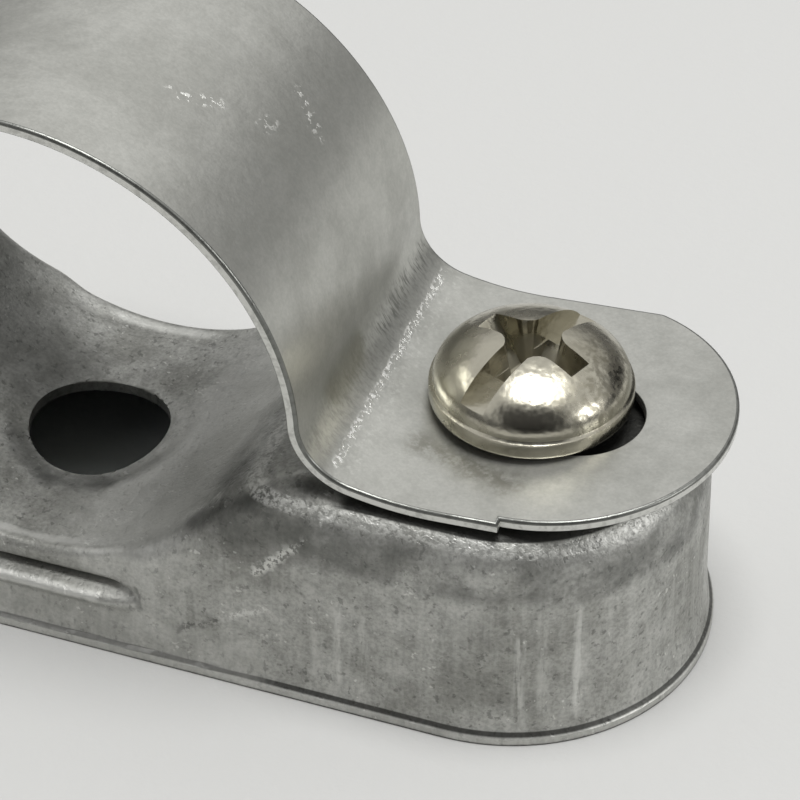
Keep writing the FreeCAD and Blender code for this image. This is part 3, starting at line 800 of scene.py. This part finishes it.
@dataclass(frozen=True)
class BrightNickel:
    """Nickel plate on a rolled and headed screw: bright, warm, with small dents of handling."""

    bare: str = "#B9B5A6"
    worn: str = "#8E8979"
    # Dark tone, for grime in the recess and for the painted shade on the crowns.
    grime: str = "#4C4738"
    roughness: float = 0.19
    recess: Stroke = Stroke((SCREW_X, PUNCH_Y, 10.5), (SCREW_X, PUNCH_Y, 11.85), 1.15, 1.55, 0.15)
    # Painted shade on the crown's outer side, which is also duller there.
    painted_crown_shade: Stroke = Stroke((SCREW_X + 2.6, 1.2, 12.6), (SCREW_X + 3.0, -1.6, 12.2), 0.4, 1.7, 0.6)

    def make(self) -> bpy.types.Material:
        """The material."""
        finish = Finish("nickel plated steel", self.bare, self.roughness)
        finish.lay(Cloud(1.6, 0.42, 0.66, 3.0), colour=self.worn, strength=0.5, dull=0.10)
        finish.lay(Cloud(0.8, 0.35, 0.7, 2.0, shift=2.0), height=0.010)
        finish.lay(Cloud(0.18, 0.35, 0.7, 2.0), dull=0.04, height=0.0005)
        for side in Side:
            finish.lay(self.recess.on(side), colour=self.grime, strength=0.35, dull=0.35)
            # Painted shade on each crown's outer side, with duller roughness.
            finish.lay(self.painted_crown_shade.on(side), Cloud(0.28, 0.40, 0.62, 4.0, shift=11.0),
                       colour=self.grime, strength=0.55, dull=0.18)
        return finish.done()


@dataclass(frozen=True)
class Matte:
    """A matte surface of one colour, with a faint tooth, as card or felt has."""

    name: str
    colour: str
    tooth: float = 0.02

    def make(self) -> bpy.types.Material:
        """The material."""
        finish = Finish(self.name, self.colour, 0.9, metallic=0.0)
        finish.shader.inputs["Specular IOR Level"].default_value = 0.0
        finish.raise_by(finish.field(Cloud(1.5, 0.2, 0.8, 4.0)), self.tooth)
        return finish.done()


# ----------------------------------------------------------------------------------- base

@dataclass
class PressedBase:
    """The hollow base: two pillars, and between them the cradle with the fixing hole."""

    middle: float = 17.9
    foot_half: float = 8.42
    wall_half: float = 8.04
    wall_lean: float = 0.033
    flare: float = 0.20
    flare_height: float = 2.0
    brim_height: float = 0.42
    brim_run: float = 0.16
    brim_top: float = 0.7
    height: float = 9.85
    gauge: float = 0.5
    cradle_radius: float = 10.3
    cradle_floor: float = 4.04
    crest_radius: float = 4.5
    pillar_rim: float = 2.0
    cradle_rim: float = 0.42
    hole_radius: float = 2.95
    hole_roll: float = 0.10
    ring_depth: float = 0.07
    ring_tilt: float = 0.05
    ring_bearing: float = 235.0
    ring_ridge: float = 0.04
    thread_x: float = SCREW_X
    thread_y: float = PUNCH_Y
    thread_radius: float = 2.02
    collar_foot: float = 7.75
    lip_inset: float = 0.36
    crease_height: float = 3.0
    crease_depth: float = 0.50
    crease_width: float = 0.19
    crease_run: float = 0.3
    crease_ends: tuple[float, float] = (3.6, 5.4)
    rim_change: tuple[float, float] = (3.5, 9.5)
    bead: float = 0.24
    bead_height: float = 2.5
    bead_width: float = 0.30
    lip_dip: float = 0.09
    lip_reach: float = 1.0
    lip_width: float = 0.28
    end_crowding: float = 0.4
    ring_crowding: float = 1.25
    edge_round: float = 0.05
    edge_angle: float = 74.0
    smooth_angle: float = 38.0
    collar_bite: float = 0.3
    collar_chamfer: float = 0.15
    collar_root: float = 0.2
    collar_steps: int = 72
    punch_length: float = 14.0
    punch_steps: int = 96
    bend_steps: int = 64
    side_steps: int = 150
    wall_rings: int = 52
    rim_rings: int = 10
    top_rings: int = 24

    def crest(self) -> Place:
        """The crest circle's place, and where the cradle meets it.

        Returns:
            The circle's x and z, and the x of the meeting.
        """
        rise = self.height - self.crest_radius
        drop = self.cradle_floor + self.cradle_radius - rise
        across = math.sqrt((self.cradle_radius + self.crest_radius) ** 2 - drop ** 2)
        return across, rise, across * self.cradle_radius / (self.cradle_radius + self.crest_radius)

    def top_height(self, x: np.ndarray) -> np.ndarray:
        """Height of the top sheet along the base.

        Args:
            x: distance from the middle, either way.

        Returns:
            The height there.
        """
        crest_x, crest_z, meeting = self.crest()
        out = np.abs(x)
        cradle = self.cradle_floor + self.cradle_radius - np.sqrt(
            self.cradle_radius ** 2 - np.minimum(out, meeting) ** 2)
        crest = crest_z + np.sqrt(np.maximum(self.crest_radius ** 2 - (out - crest_x) ** 2, 0.0))
        return np.where(out < meeting, cradle, np.where(out < crest_x, crest, self.height))

    def half_width(self, z: np.ndarray) -> np.ndarray:
        """Half width of the wall, which leans in a little and flares out to the foot."""
        leaning = self.wall_half - self.wall_lean * (z - self.flare_height)
        low = np.sin(np.pi / 2 * np.clip(1.0 - z / self.flare_height, 0.0, 1.0))
        flared = self.wall_half + self.flare * low
        turned = self.foot_half - (self.foot_half - self.wall_half - self.flare) * ease(
            z, self.brim_height, self.brim_height + self.brim_run)
        return np.where(z > self.flare_height, leaning, np.where(z < self.brim_top, turned, flared))

    def shape(self, turn: np.ndarray, ring: np.ndarray) -> np.ndarray:
        """Rolls a grid into the outside of the pressing.

        Args:
            turn: once round the outline.
            ring: from the foot, up the wall and over the rim to the middle of the top.

        Returns:
            A row of x, y and z for each point.
        """
        bends, sides = self.bend_steps, self.side_steps
        stations = np.cumsum([0, bends, sides, bends, sides])
        at = turn * stations[-1]
        heading = np.radians(np.interp(at, stations, [-90, 90, 90, 270, 270]))
        share = np.interp(at, stations, [1, 1, -1, -1, 1])
        x = self.middle * ((1.0 - self.end_crowding) * share + self.end_crowding * share ** 3)

        step = ring * (self.wall_rings + self.rim_rings + self.top_rings)
        up = 1.0 - (1.0 - np.clip(step / self.wall_rings, 0.0, 1.0)) ** self.ring_crowding
        over = np.clip((step - self.wall_rings) / self.rim_rings, 0.0, 1.0) * np.pi / 2
        inward = np.clip((step - self.wall_rings - self.rim_rings) / self.top_rings, 0.0, 1.0)

        top = self.top_height(x)
        rim = self.cradle_rim + (self.pillar_rim - self.cradle_rim) * ease(np.abs(x), *self.rim_change)
        z = up * (top - rim)
        half = self.half_width(z)
        folded = 1.0 - ease(np.abs(x), *self.crease_ends)
        crease = self.crease_height
        half = half - folded * (self.lip_inset * ease(z, crease - self.crease_run, crease)
                                + self.crease_depth * hump(z, crease, self.crease_width))
        half = half + self.bead * folded * hump(z, self.bead_height, self.bead_width)
        out = half - rim * (1.0 - np.cos(over)) - inward * (half - rim)
        z = z + rim * np.sin(over)
        inside = rim * (1.0 - np.cos(over)) + inward * (half - rim)
        z = z - self.lip_dip * (folded * hump(inside, self.lip_reach, self.lip_width))
        return np.column_stack([x + out * np.cos(heading) * (np.abs(share) == 1.0),
                                out * np.sin(heading), z])

    def dress_hole(self, places: np.ndarray) -> np.ndarray:
        """Presses the ring that the punch leaves round the fixing hole.

        Args:
            places: the vertices.

        Returns:
            The vertices, with the ring pressed in.
        """
        away = np.hypot(places[:, 0], places[:, 1]) - self.hole_radius
        near = places[:, 2] > self.cradle_floor - 0.1
        bearing = np.arctan2(places[:, 1], places[:, 0])
        # The punch stood a little askew, so the ring is deepest on one side.
        deep = self.ring_depth + self.ring_tilt * np.cos(bearing - math.radians(self.ring_bearing))
        dip = deep * hump(away, 0.45, 0.35)
        roll = self.hole_roll * hump(away, -0.1, 0.25)
        ridge = self.ring_ridge * hump(away, 1.3, 0.35)
        places[:, 2] += near * (ridge - dip - roll)
        return places

    def collars(self) -> bpy.types.Object:
        """The thread collars that are drawn down from the pillar tops."""
        made = []
        inside, outside = self.thread_radius - self.collar_bite, self.thread_radius + self.gauge
        foot, top, cut = self.collar_foot, self.height - self.collar_root, self.collar_chamfer
        profile = np.array([(inside, top), (inside, foot), (outside - cut, foot), (outside, foot + cut),
                            (outside, top), (inside, top)])

        def tube(turn: np.ndarray, ring: np.ndarray) -> np.ndarray:
            """Rolls a grid into one collar."""
            at = ring * (len(profile) - 1)
            radius = np.interp(at, np.arange(len(profile)), profile[:, 0])
            height = np.interp(at, np.arange(len(profile)), profile[:, 1])
            bearing = turn * 2 * np.pi
            return np.column_stack([radius * np.cos(bearing), radius * np.sin(bearing), height])

        for side in Side:
            collar = wrap_grid("collar", self.collar_steps, len(profile) - 1, tube)
            places = coordinates(collar)
            set_coordinates(collar, places + [side.value * self.thread_x, self.thread_y, 0.0])
            made.append(collar)
        return join(made)

    def punches(self) -> bpy.types.Object:
        """The round punches of the fixing hole and the two thread holes."""
        made = []
        middle_z = self.cradle_floor + 3.0
        for x, y, radius in ((0.0, 0.0, self.hole_radius),
                             (self.thread_x, self.thread_y, self.thread_radius),
                             (-self.thread_x, self.thread_y, self.thread_radius)):
            leave_and_deselect()
            bpy.ops.mesh.primitive_cylinder_add(vertices=self.punch_steps, radius=radius * MM,
                                                depth=self.punch_length * MM)
            punch = bpy.context.object
            set_coordinates(punch, coordinates(punch) + [x, y, middle_z])
            made.append(punch)
        return join(made)

    def form(self) -> bpy.types.Object:
        """Models the pressing."""
        steps_round = 2 * (self.bend_steps + self.side_steps)
        rings = self.wall_rings + self.rim_rings + self.top_rings
        piece = wrap_grid("base_pressing", steps_round, rings, self.shape)
        set_coordinates(piece, self.dress_hole(coordinates(piece)))
        apply_modifier(piece, "SOLIDIFY", thickness=self.gauge * MM, offset=-1.0,
                       use_even_offset=True, use_quality_normals=True)
        combine(piece, self.collars(), "UNION")
        combine(piece, self.punches(), "DIFFERENCE")
        apply_modifier(piece, "BEVEL", width=self.edge_round * MM, segments=2,
                       limit_method="ANGLE", angle_limit=math.radians(self.edge_angle),
                       use_clamp_overlap=False)
        merge_slivers(piece)
        smooth_by_angle(piece, self.smooth_angle)
        return piece

    def build(self) -> bpy.types.Object:
        """Models and dresses the base."""
        piece = self.form()
        piece.data.materials.append(DrawnZinc().make())
        hand_over(piece, "base")
        return piece


# ---------------------------------------------------------------------------------- strap

@dataclass
class EaredStrap:
    """The strap: a hoop over the conduit and an ear at each side, bent from one strip."""

    half_width: float = 7.0
    gauge: float = 0.42
    hoop_radius: float = 11.67
    hoop_z: float = 12.4
    knee_radius: float = 2.5
    sweep_radius: float = 12.5
    sweep_x: float = 16.3
    ear_z: float = 10.27
    tilt: float = 3.9
    end_x: float = 19.5
    end_radius: float = 7.045
    punch_y: float = PUNCH_Y
    slot_start: float = 15.2
    slot_end: float = 23.1
    slot_half: float = 2.45
    edge_round: float = 0.14
    burr_round: float = 0.03
    slot_round: float = 0.042
    smooth_angle: float = 35.0
    end_spare: float = 0.6
    side_spare: float = 1.0
    slot_steps: int = 64
    outline_steps: int = 97
    tool_height: float = 6.0
    block_height: float = 60.0
    sweep_steps: int = 10
    knee_steps: int = 28
    hoop_steps: int = 72

    def bends(self) -> tuple[Vector, float, float]:
        """Where the knee between hoop and ear lies.

        Returns:
            Its centre, and the directions from the hoop's centre and from the slow curve's
            centre to it, in radians.
        """
        hoop = Vector((0.0, self.hoop_z))
        sweep = Vector((self.sweep_x, self.ear_z + self.sweep_radius))
        to_hoop = self.hoop_radius + self.knee_radius
        to_sweep = self.sweep_radius - self.knee_radius
        span = sweep - hoop
        along = (to_hoop ** 2 - to_sweep ** 2 + span.length_squared) / (2 * span.length)
        aside = math.sqrt(to_hoop ** 2 - along ** 2)
        unit = span.normalized()
        knee = hoop + unit * along + Vector((unit.y, -unit.x)) * aside
        from_hoop, from_sweep = knee - hoop, knee - sweep
        return knee, math.atan2(from_hoop.y, from_hoop.x), math.atan2(from_sweep.y, from_sweep.x)

    def spin_edge(self, piece: bpy.types.Object, x: float, z: float, angle: float, steps: int) -> None:
        """Carries the selected edge round an axis along the conduit, leaving a curved sheet.

        Args:
            piece: not used; the strap must already be open in edit mode with the edge selected.
            x: the axis's place.
            z: the axis's height.
            angle: in radians, positive from X towards Z.
            steps: faces along the curve.
        """
        bpy.ops.mesh.spin(steps=steps, angle=angle, center=(x * MM, 0.0, z * MM), axis=(0.0, 1.0, 0.0))

    def half_sheet(self) -> bpy.types.Object:
        """Models the upper side of the right half: the ear first, then its bends and the hoop."""
        knee, at_hoop, at_sweep = self.bends()
        tilt = math.radians(self.tilt)
        start_x = self.sweep_x + self.sweep_radius * math.sin(tilt)
        start_z = self.ear_z + self.sweep_radius * (1.0 - math.cos(tilt))
        length = (self.end_x + self.end_radius + self.end_spare - start_x) / math.cos(tilt)
        leave_and_deselect()
        bpy.ops.mesh.primitive_plane_add(size=1.0)
        piece = bpy.context.object
        piece.name = "strap_strip"
        flat = coordinates(piece) * MM
        along = (flat[:, 0] + 0.5) * length
        set_coordinates(piece, np.column_stack([
            start_x + along * math.cos(tilt), flat[:, 1] * 2 * (self.half_width + self.side_spare),
            start_z + along * math.sin(tilt),
        ]))
        inner = np.array([
            all(piece.data.vertices[end].co.x < (start_x + 0.01) * MM for end in edge.vertices)
            for edge in piece.data.edges
        ])
        select_elements(piece, "EDGE", inner)
        bottom = -math.pi / 2
        self.spin_edge(piece, self.sweep_x, self.ear_z + self.sweep_radius,
                       at_sweep - bottom - tilt, self.sweep_steps)
        self.spin_edge(piece, knee.x, knee.y, at_hoop + math.pi - at_sweep % (2 * math.pi),
                       self.knee_steps)
        self.spin_edge(piece, 0.0, self.hoop_z, math.pi / 2 - at_hoop, self.hoop_steps)
        bpy.ops.object.mode_set(mode="OBJECT")
        return piece

    def slots(self) -> bpy.types.Object:
        """The punches of the ears' screw slots."""
        leave_and_deselect()
        bpy.ops.mesh.primitive_cylinder_add(vertices=self.slot_steps, radius=self.slot_half * MM,
                                            depth=self.tool_height * MM)
        slot = bpy.context.object
        places = coordinates(slot)
        spare = self.slot_end - self.slot_start - 2 * self.slot_half
        places[:, 0] += self.slot_start + self.slot_half + spare * (places[:, 0] > 0.0)
        places[:, 2] += self.ear_z
        set_coordinates(slot, places)
        apply_modifier(slot, "MIRROR", use_axis=(True, False, False))
        return slot

    def blank(self) -> bpy.types.Object:
        """The strap's outline from above, as one tall block with round ends."""
        sweep = np.radians(np.linspace(-90, 90, self.outline_steps))
        right = np.vstack([[(self.end_x, -self.half_width)], np.column_stack([
            self.end_x + self.end_radius * np.cos(sweep),
            np.minimum(self.punch_y + self.end_radius * np.sin(sweep), self.half_width),
        ])])
        outline = np.vstack([right, right[::-1] * [-1.0, 1.0]])
        leave_and_deselect()
        bpy.ops.mesh.primitive_cylinder_add(vertices=len(outline), radius=1.0, depth=self.block_height)
        block = bpy.context.object
        places = coordinates(block) * MM
        heights = places[:, 2] + self.ear_z
        set_coordinates(block, np.column_stack([outline[np.arange(len(places)) // 2], heights]))
        face_outwards(block)
        return block

    def form(self) -> bpy.types.Object:
        """Models the strap."""
        piece = self.half_sheet()
        apply_modifier(piece, "MIRROR", use_axis=(True, False, False), merge_threshold=SEAM * MM)
        face_outwards(piece, merge=SEAM)
        centres, normals = face_table(piece)
        if normals[centres[:, 2].argmax(), 2] < 0.0:
            piece.data.flip_normals()
        for layer in Layer:
            piece.data.materials.append(bpy.data.materials.new(layer.name))
        apply_modifier(piece, "SOLIDIFY", thickness=self.gauge * MM, offset=-1.0,
                       use_even_offset=True, material_offset=Layer.INNER.value,
                       material_offset_rim=Layer.EDGE.value)
        for tool, operation in ((self.blank(), "INTERSECT"), (self.slots(), "DIFFERENCE")):
            for layer in Layer:
                tool.data.materials.append(piece.data.materials[layer.value])
            tool.data.polygons.foreach_set(
                "material_index", np.full(len(tool.data.polygons), Layer.EDGE.value))
            combine(piece, tool, operation)
        return piece

    def roll_edges(self, piece: bpy.types.Object) -> None:
        """Rounds the sheared edges: more where the shears entered, on the outer side."""
        mesh = piece.data
        layers = {}
        for face in mesh.polygons:
            for key in face.edge_keys:
                layers.setdefault(key, set()).add(face.material_index)
        weights = np.zeros(len(mesh.edges))
        for number, edge in enumerate(mesh.edges):
            touching = layers.get(tuple(sorted(edge.vertices)), set())
            if Layer.EDGE.value in touching and Layer.OUTER.value in touching:
                middle = sum((mesh.vertices[end].co for end in edge.vertices), Vector()) / 2 / MM
                along = self.slot_start - 0.1 < abs(middle.x) < self.slot_end + 0.1
                in_slot = along and abs(middle.y) < self.slot_half + 0.5
                weights[number] = self.slot_round / self.edge_round if in_slot else 1.0
            elif Layer.EDGE.value in touching and Layer.INNER.value in touching:
                weights[number] = self.burr_round / self.edge_round
        marks = mesh.attributes.new("bevel_weight_edge", "FLOAT", "EDGE")
        marks.data.foreach_set("value", weights)
        apply_modifier(piece, "BEVEL", width=self.edge_round * MM, segments=4,
                       limit_method="WEIGHT", use_clamp_overlap=False,
                       material=Layer.ROLLED.value)

    def build(self) -> bpy.types.Object:
        """Models and dresses the strap."""
        piece = self.form()
        self.roll_edges(piece)
        zinc = StripZinc().make()
        finishes = {Layer.OUTER: zinc, Layer.EDGE: ShearedEdge().make(), Layer.INNER: zinc,
                    Layer.ROLLED: ShadedRolledShoulder().make()}
        for layer, finish in finishes.items():
            piece.data.materials[layer.value] = finish
        smooth_by_angle(piece, self.smooth_angle)
        apply_modifier(piece, "WEIGHTED_NORMAL", keep_sharp=True, weight=100)
        hand_over(piece, "strap")
        return piece


# --------------------------------------------------------------------------------- screws

@dataclass
class PanHeadScrew:
    """A machine screw with a combined slot and cross recess."""

    side: Side
    x: float = SCREW_X
    y: float = PUNCH_Y
    tip_z: float = 2.63
    seat_z: float = 10.62
    thread_radius: float = 1.98
    thread_pitch: float = 0.7
    thread_depth: float = 0.38
    thread_start: float = 0.2
    thread_runout: float = 0.6
    tip_chamfer: float = 0.5
    neck_radius: float = 2.0
    neck_step: float = 0.02
    head_radius: float = 4.0
    seat_radius: float = 3.72
    side_top: float = 11.44
    crown_radius: float = 3.86
    crown_foot: float = 11.50
    crown_rise: float = 2.0
    slot_width: float = 1.25
    slot_depth: float = 1.35
    slot_turn: float = 68.0
    slot_length: float = 12.0
    slot_draft: float = 0.12
    cutter_spare: float = 1.0
    wing_width: float = 1.15
    wing_span: float = 5.3
    wing_root: float = 1.9
    wing_taper: float = 0.8
    root_round: float = 0.25
    cross_depth: float = 2.1
    cross_spare: float = 0.6
    corner_round: float = 0.95
    edge_round: float = 0.04
    edge_angle: float = 52.0
    smooth_angle: float = 32.0
    around: int = 128
    shank_rings: int = 96

    def outline(self) -> np.ndarray:
        """The screw's outline from the tip to the middle of the crown.

        Returns:
            A row of radius and height for each ring.
        """
        tip = [(0.0, self.tip_z), (self.thread_radius - self.tip_chamfer, self.tip_z)]
        shank_z = np.linspace(self.tip_z + self.tip_chamfer, self.seat_z - self.neck_step,
                              self.shank_rings)
        shank = np.column_stack([np.full(self.shank_rings, self.thread_radius), shank_z])
        seat = [(self.neck_radius, self.seat_z), (self.seat_radius - 0.4, self.seat_z),
                (self.seat_radius, self.seat_z)]
        turn = np.radians(np.linspace(-80, 0, 7))
        under = self.head_radius - self.seat_radius
        lower = np.column_stack([self.seat_radius + under * np.cos(turn),
                                 self.seat_z + under + under * np.sin(turn)])
        # The head's side ends in a small round, stated as its distances from the corner.
        upright = [(self.head_radius - inwards, self.side_top - below)
                   for inwards, below in ((0.0, 0.30), (0.0, 0.12), (0.03, 0.03), (0.08, 0.0))]
        climb = np.radians(np.linspace(0, 90, 26))
        crown = np.column_stack([self.crown_radius * np.cos(climb),
                                 self.crown_foot + self.crown_rise * np.sin(climb)])
        return np.vstack([tip, shank, seat, lower, upright, crown])

    def shape(self, turn: np.ndarray, ring: np.ndarray) -> np.ndarray:
        """Rolls a grid into the screw, with its thread.

        Args:
            turn: once round the axis.
            ring: along the outline.

        Returns:
            A row of x, y and z for each point, about the screw's own axis.
        """
        outline = self.outline()
        at = ring * (len(outline) - 1)
        numbers = np.arange(len(outline))
        radius = np.interp(at, numbers, outline[:, 0])
        z = np.interp(at, numbers, outline[:, 1])
        wave = np.abs(((z / self.thread_pitch + turn) % 1.0) * 2.0 - 1.0)
        threaded = ((z > self.tip_z + self.thread_start) & (z < self.seat_z - self.thread_runout)
                    & (radius > self.thread_radius / 2))
        # The wave is a little too tall for its range, which leaves crests and roots flat.
        radius = radius - threaded * self.thread_depth * np.clip(1.25 * wave - 0.125, 0.0, 1.0)
        bearing = turn * 2 * np.pi
        return np.column_stack([radius * np.cos(bearing), radius * np.sin(bearing), z])

    def slot_cutter(self) -> bpy.types.Object:
        """The straight slot's cutter, turned about the screw's axis."""
        leave_and_deselect()
        top = self.crown_foot + self.crown_rise
        bpy.ops.mesh.primitive_cube_add(size=1.0)
        cutter = bpy.context.object
        places = coordinates(cutter) * MM
        draft = 1.0 - self.slot_draft * (places[:, 2] < 0.0)
        deep = self.slot_depth + self.cutter_spare
        set_coordinates(cutter, np.column_stack([
            places[:, 0] * self.slot_length, places[:, 1] * self.slot_width * draft,
            top - self.slot_depth + (places[:, 2] + 0.5) * deep,
        ]))
        self.turn_cutter(cutter)
        return cutter

    def wings(self, half: float, reach: float, rounding: float) -> np.ndarray:
        """A cross with rounded inner corners.

        Args:
            half: half the width of a wing.
            reach: from the middle to a wing's tip.
            rounding: radius between the wings.

        Returns:
            A row of x and y for each corner, anticlockwise.
        """
        sweep = np.radians(np.linspace(270, 180, 6))
        corner = half + rounding + rounding * np.column_stack([np.cos(sweep), np.sin(sweep)])
        quarter = np.vstack([[(reach, half)], corner, [(half, reach)]])
        quarters = []
        for number in range(4):
            cosine, sine = round(math.cos(number * math.pi / 2)), round(math.sin(number * math.pi / 2))
            quarters.append(quarter @ np.array([[cosine, sine], [-sine, cosine]]))
        return np.vstack(quarters)

    def cross_cutter(self) -> bpy.types.Object:
        """The cross recess's cutter: four tapered wings with rounded corners between them."""
        top = self.crown_foot + self.crown_rise
        reach, root = self.wing_span / 2, self.wing_root / 2
        spread = reach + self.cross_spare * (reach - root) / self.cross_depth
        upper = self.wings(self.wing_width / 2, spread, self.corner_round)
        lower = self.wings(self.wing_width / 2 * self.wing_taper, root, self.root_round)
        leave_and_deselect()
        bpy.ops.mesh.primitive_cylinder_add(vertices=len(upper), radius=1.0, depth=1.0)
        cutter = bpy.context.object
        places = coordinates(cutter)
        corner = np.arange(len(places)) // 2
        low = places[:, 2] < 0.0
        outline = np.where(low[:, None], lower[corner], upper[corner])
        heights = np.where(low, top - self.cross_depth, top + self.cross_spare)
        set_coordinates(cutter, np.column_stack([outline, heights]))
        face_outwards(cutter)
        self.turn_cutter(cutter)
        return cutter

    def turn_cutter(self, cutter: bpy.types.Object) -> None:
        """Turns a cutter to the direction of the driver slot."""
        cutter.data.transform(Matrix.Rotation(math.radians(self.slot_turn), 4, "Z"))

    def form(self) -> bpy.types.Object:
        """Models the screw at its place."""
        piece = wrap_grid("screw_" + self.side.name.lower() + "_pan_head", self.around,
                          len(self.outline()) - 1, self.shape)
        combine(piece, self.slot_cutter(), "DIFFERENCE")
        combine(piece, self.cross_cutter(), "DIFFERENCE")
        apply_modifier(piece, "BEVEL", width=self.edge_round * MM, segments=2,
                       limit_method="ANGLE", angle_limit=math.radians(self.edge_angle),
                       use_clamp_overlap=True)
        mirror = Matrix.Diagonal((self.side.value, 1.0, 1.0, 1.0))
        shift = Matrix.Translation(Vector((self.side.value * self.x, self.y, 0.0)) * MM)
        piece.data.transform(shift @ mirror)
        if self.side is Side.LEFT:
            piece.data.flip_normals()
        merge_slivers(piece)
        smooth_by_angle(piece, self.smooth_angle)
        apply_modifier(piece, "WEIGHTED_NORMAL", keep_sharp=True, weight=50)
        return piece

    def build(self, nickel: bpy.types.Material) -> bpy.types.Object:
        """Models and dresses the screw.

        Args:
            nickel: the finish that both screws share.

        Returns:
            The screw.
        """
        piece = self.form()
        piece.data.materials.append(nickel)
        hand_over(piece, "screw_" + self.side.name.lower())
        return piece


# ---------------------------------------------------------------------------------- stage

@dataclass(frozen=True)
class View:
    """The camera's place and direction, in millimetres and degrees."""

    place: Place = (42.700, -83.912, 83.730)
    yaw: float = 19.35
    pitch: float = 39.97
    roll: float = 0.12
    lens: float = 132.5
    sensor: float = 36.0
    nearest: float = 5.0
    farthest: float = 10000.0

    def set_up(self) -> None:
        """Adds the camera."""
        data = bpy.data.cameras.new("camera")
        data.lens, data.sensor_width = self.lens, self.sensor
        data.clip_start, data.clip_end = self.nearest * MM, self.farthest * MM
        camera = bpy.data.objects.new("camera", data)
        bpy.context.scene.collection.objects.link(camera)
        turn = (Matrix.Rotation(math.radians(self.yaw), 4, "Z")
                @ Matrix.Rotation(math.radians(90.0 - self.pitch), 4, "X")
                @ Matrix.Rotation(math.radians(self.roll), 4, "Z"))
        camera.matrix_world = Matrix.Translation(Vector(self.place) * MM) @ turn
        bpy.context.scene.camera = camera


@dataclass(frozen=True)
class Studio:
    """A pale table under a wide soft light, in a room that is darker low down."""

    card: str = "#BEBEBC"
    # Colour of the patch under the base: pale, painted light seen only through the fixing hole.
    felt: str = "#D5DADA"
    table: float = 3000.0
    patch_radius: float = 7.2
    patch_half: float = 17.0
    patch_z: float = 0.02
    dimmed: float = 0.08
    sky: tuple[tuple[float, float], ...] = (
        (0.0, 0.10), (0.20, 0.14), (0.42, 0.60), (0.66, 0.85), (1.0, 0.56),
    )
    lamps: tuple[tuple[str, Place, float, float], ...] = (
        ("overhead", (40.0, 0.0, 400.0), 190.0, 1.38),
        ("right", (380.0, -20.0, 170.0), 150.0, 0.40),
    )
    dark_sides: tuple[tuple[Place, float], ...] = (
        ((0.25, -0.72, 0.62), 42.0), ((0.64, 0.74, 0.16), 24.0),
    )

    def lay_table(self) -> None:
        """Adds the table, and under the base a pale patch that only the fixing hole shows: painted light
        that sets how bright the hole's inside looks.
        """
        leave_and_deselect()
        bpy.ops.mesh.primitive_plane_add(size=self.table * MM)
        table = bpy.context.object
        table.name = "table"
        table.data.materials.append(Matte("pale card", self.card).make())
        leave_and_deselect()
        bpy.ops.mesh.primitive_circle_add(vertices=64, radius=self.patch_radius * MM, fill_type="NGON")
        patch = bpy.context.object
        patch.name = "shade_under_the_base"
        places = coordinates(patch)
        places[:, 0] += np.sign(places[:, 0]) * self.patch_half
        places[:, 2] = self.patch_z
        set_coordinates(patch, places)
        patch.data.materials.append(Matte("painted light under the base", self.felt).make())

    def light_room(self) -> None:
        """Lights the room from the sky down: bright above, dark near the horizon."""
        world = bpy.data.worlds.new("room")
        world.use_nodes = True
        tree = world.node_tree
        tree.nodes.clear()
        direction = add_node(tree, "ShaderNodeTexCoord").outputs["Generated"]
        parts = add_node(tree, "ShaderNodeSeparateXYZ", {}, {0: direction})
        ramp = add_node(tree, "ShaderNodeValToRGB", {}, {0: parts.outputs["Z"]})
        stops = ramp.color_ramp.elements
        for number, (height, grey) in enumerate(self.sky):
            stop = stops[number] if number < 2 else stops.new(height)
            stop.position, stop.color = height, (grey, grey, grey, 1.0)
        sky = ramp.outputs["Color"]
        for side, spread in self.dark_sides:
            facing = add_node(tree, "ShaderNodeVectorMath", {"operation": "DOT_PRODUCT"}, {
                0: direction, 1: Vector(side).normalized(),
            })
            edge = math.cos(math.radians(spread))
            shade = add_node(tree, "ShaderNodeMapRange", SOFT, {
                "Value": facing.outputs["Value"], "From Min": edge, "From Max": (1.0 + edge) / 2,
                "To Min": 1.0, "To Max": self.dimmed,
            })
            sky = add_node(tree, "ShaderNodeVectorMath", {"operation": "SCALE"}, {
                0: sky, "Scale": shade.outputs["Result"],
            }).outputs[0]
        background = add_node(tree, "ShaderNodeBackground", {}, {"Color": sky, "Strength": 1.0})
        add_node(tree, "ShaderNodeOutputWorld", {}, {0: background.outputs[0]})
        bpy.context.scene.world = world

    def hang_lamps(self) -> None:
        """Hangs the wide lamp overhead and a weaker one at the right."""
        for name, place, size, power in self.lamps:
            data = bpy.data.lights.new(name, "AREA")
            data.shape, data.size, data.energy = "DISK", size * MM, power
            lamp = bpy.data.objects.new(name, data)
            bpy.context.scene.collection.objects.link(lamp)
            lamp.location = Vector(place) * MM
            lamp.rotation_euler = (-lamp.location).to_track_quat("-Z", "Y").to_euler()

    def set_up(self) -> None:
        """Sets the stage and the way that colours are shown."""
        self.lay_table()
        self.light_room()
        self.hang_lamps()
        bpy.context.scene.view_settings.view_transform = "Standard"


def main() -> None:
    """Builds the saddle piece by piece and sets its stage."""
    View().set_up()
    Studio().set_up()
    PressedBase().build()
    EaredStrap().build()
    nickel = BrightNickel().make()
    for side in Side:
        PanHeadScrew(side).build(nickel)
    leave_and_deselect()


if __name__ == "__main__":
    main()
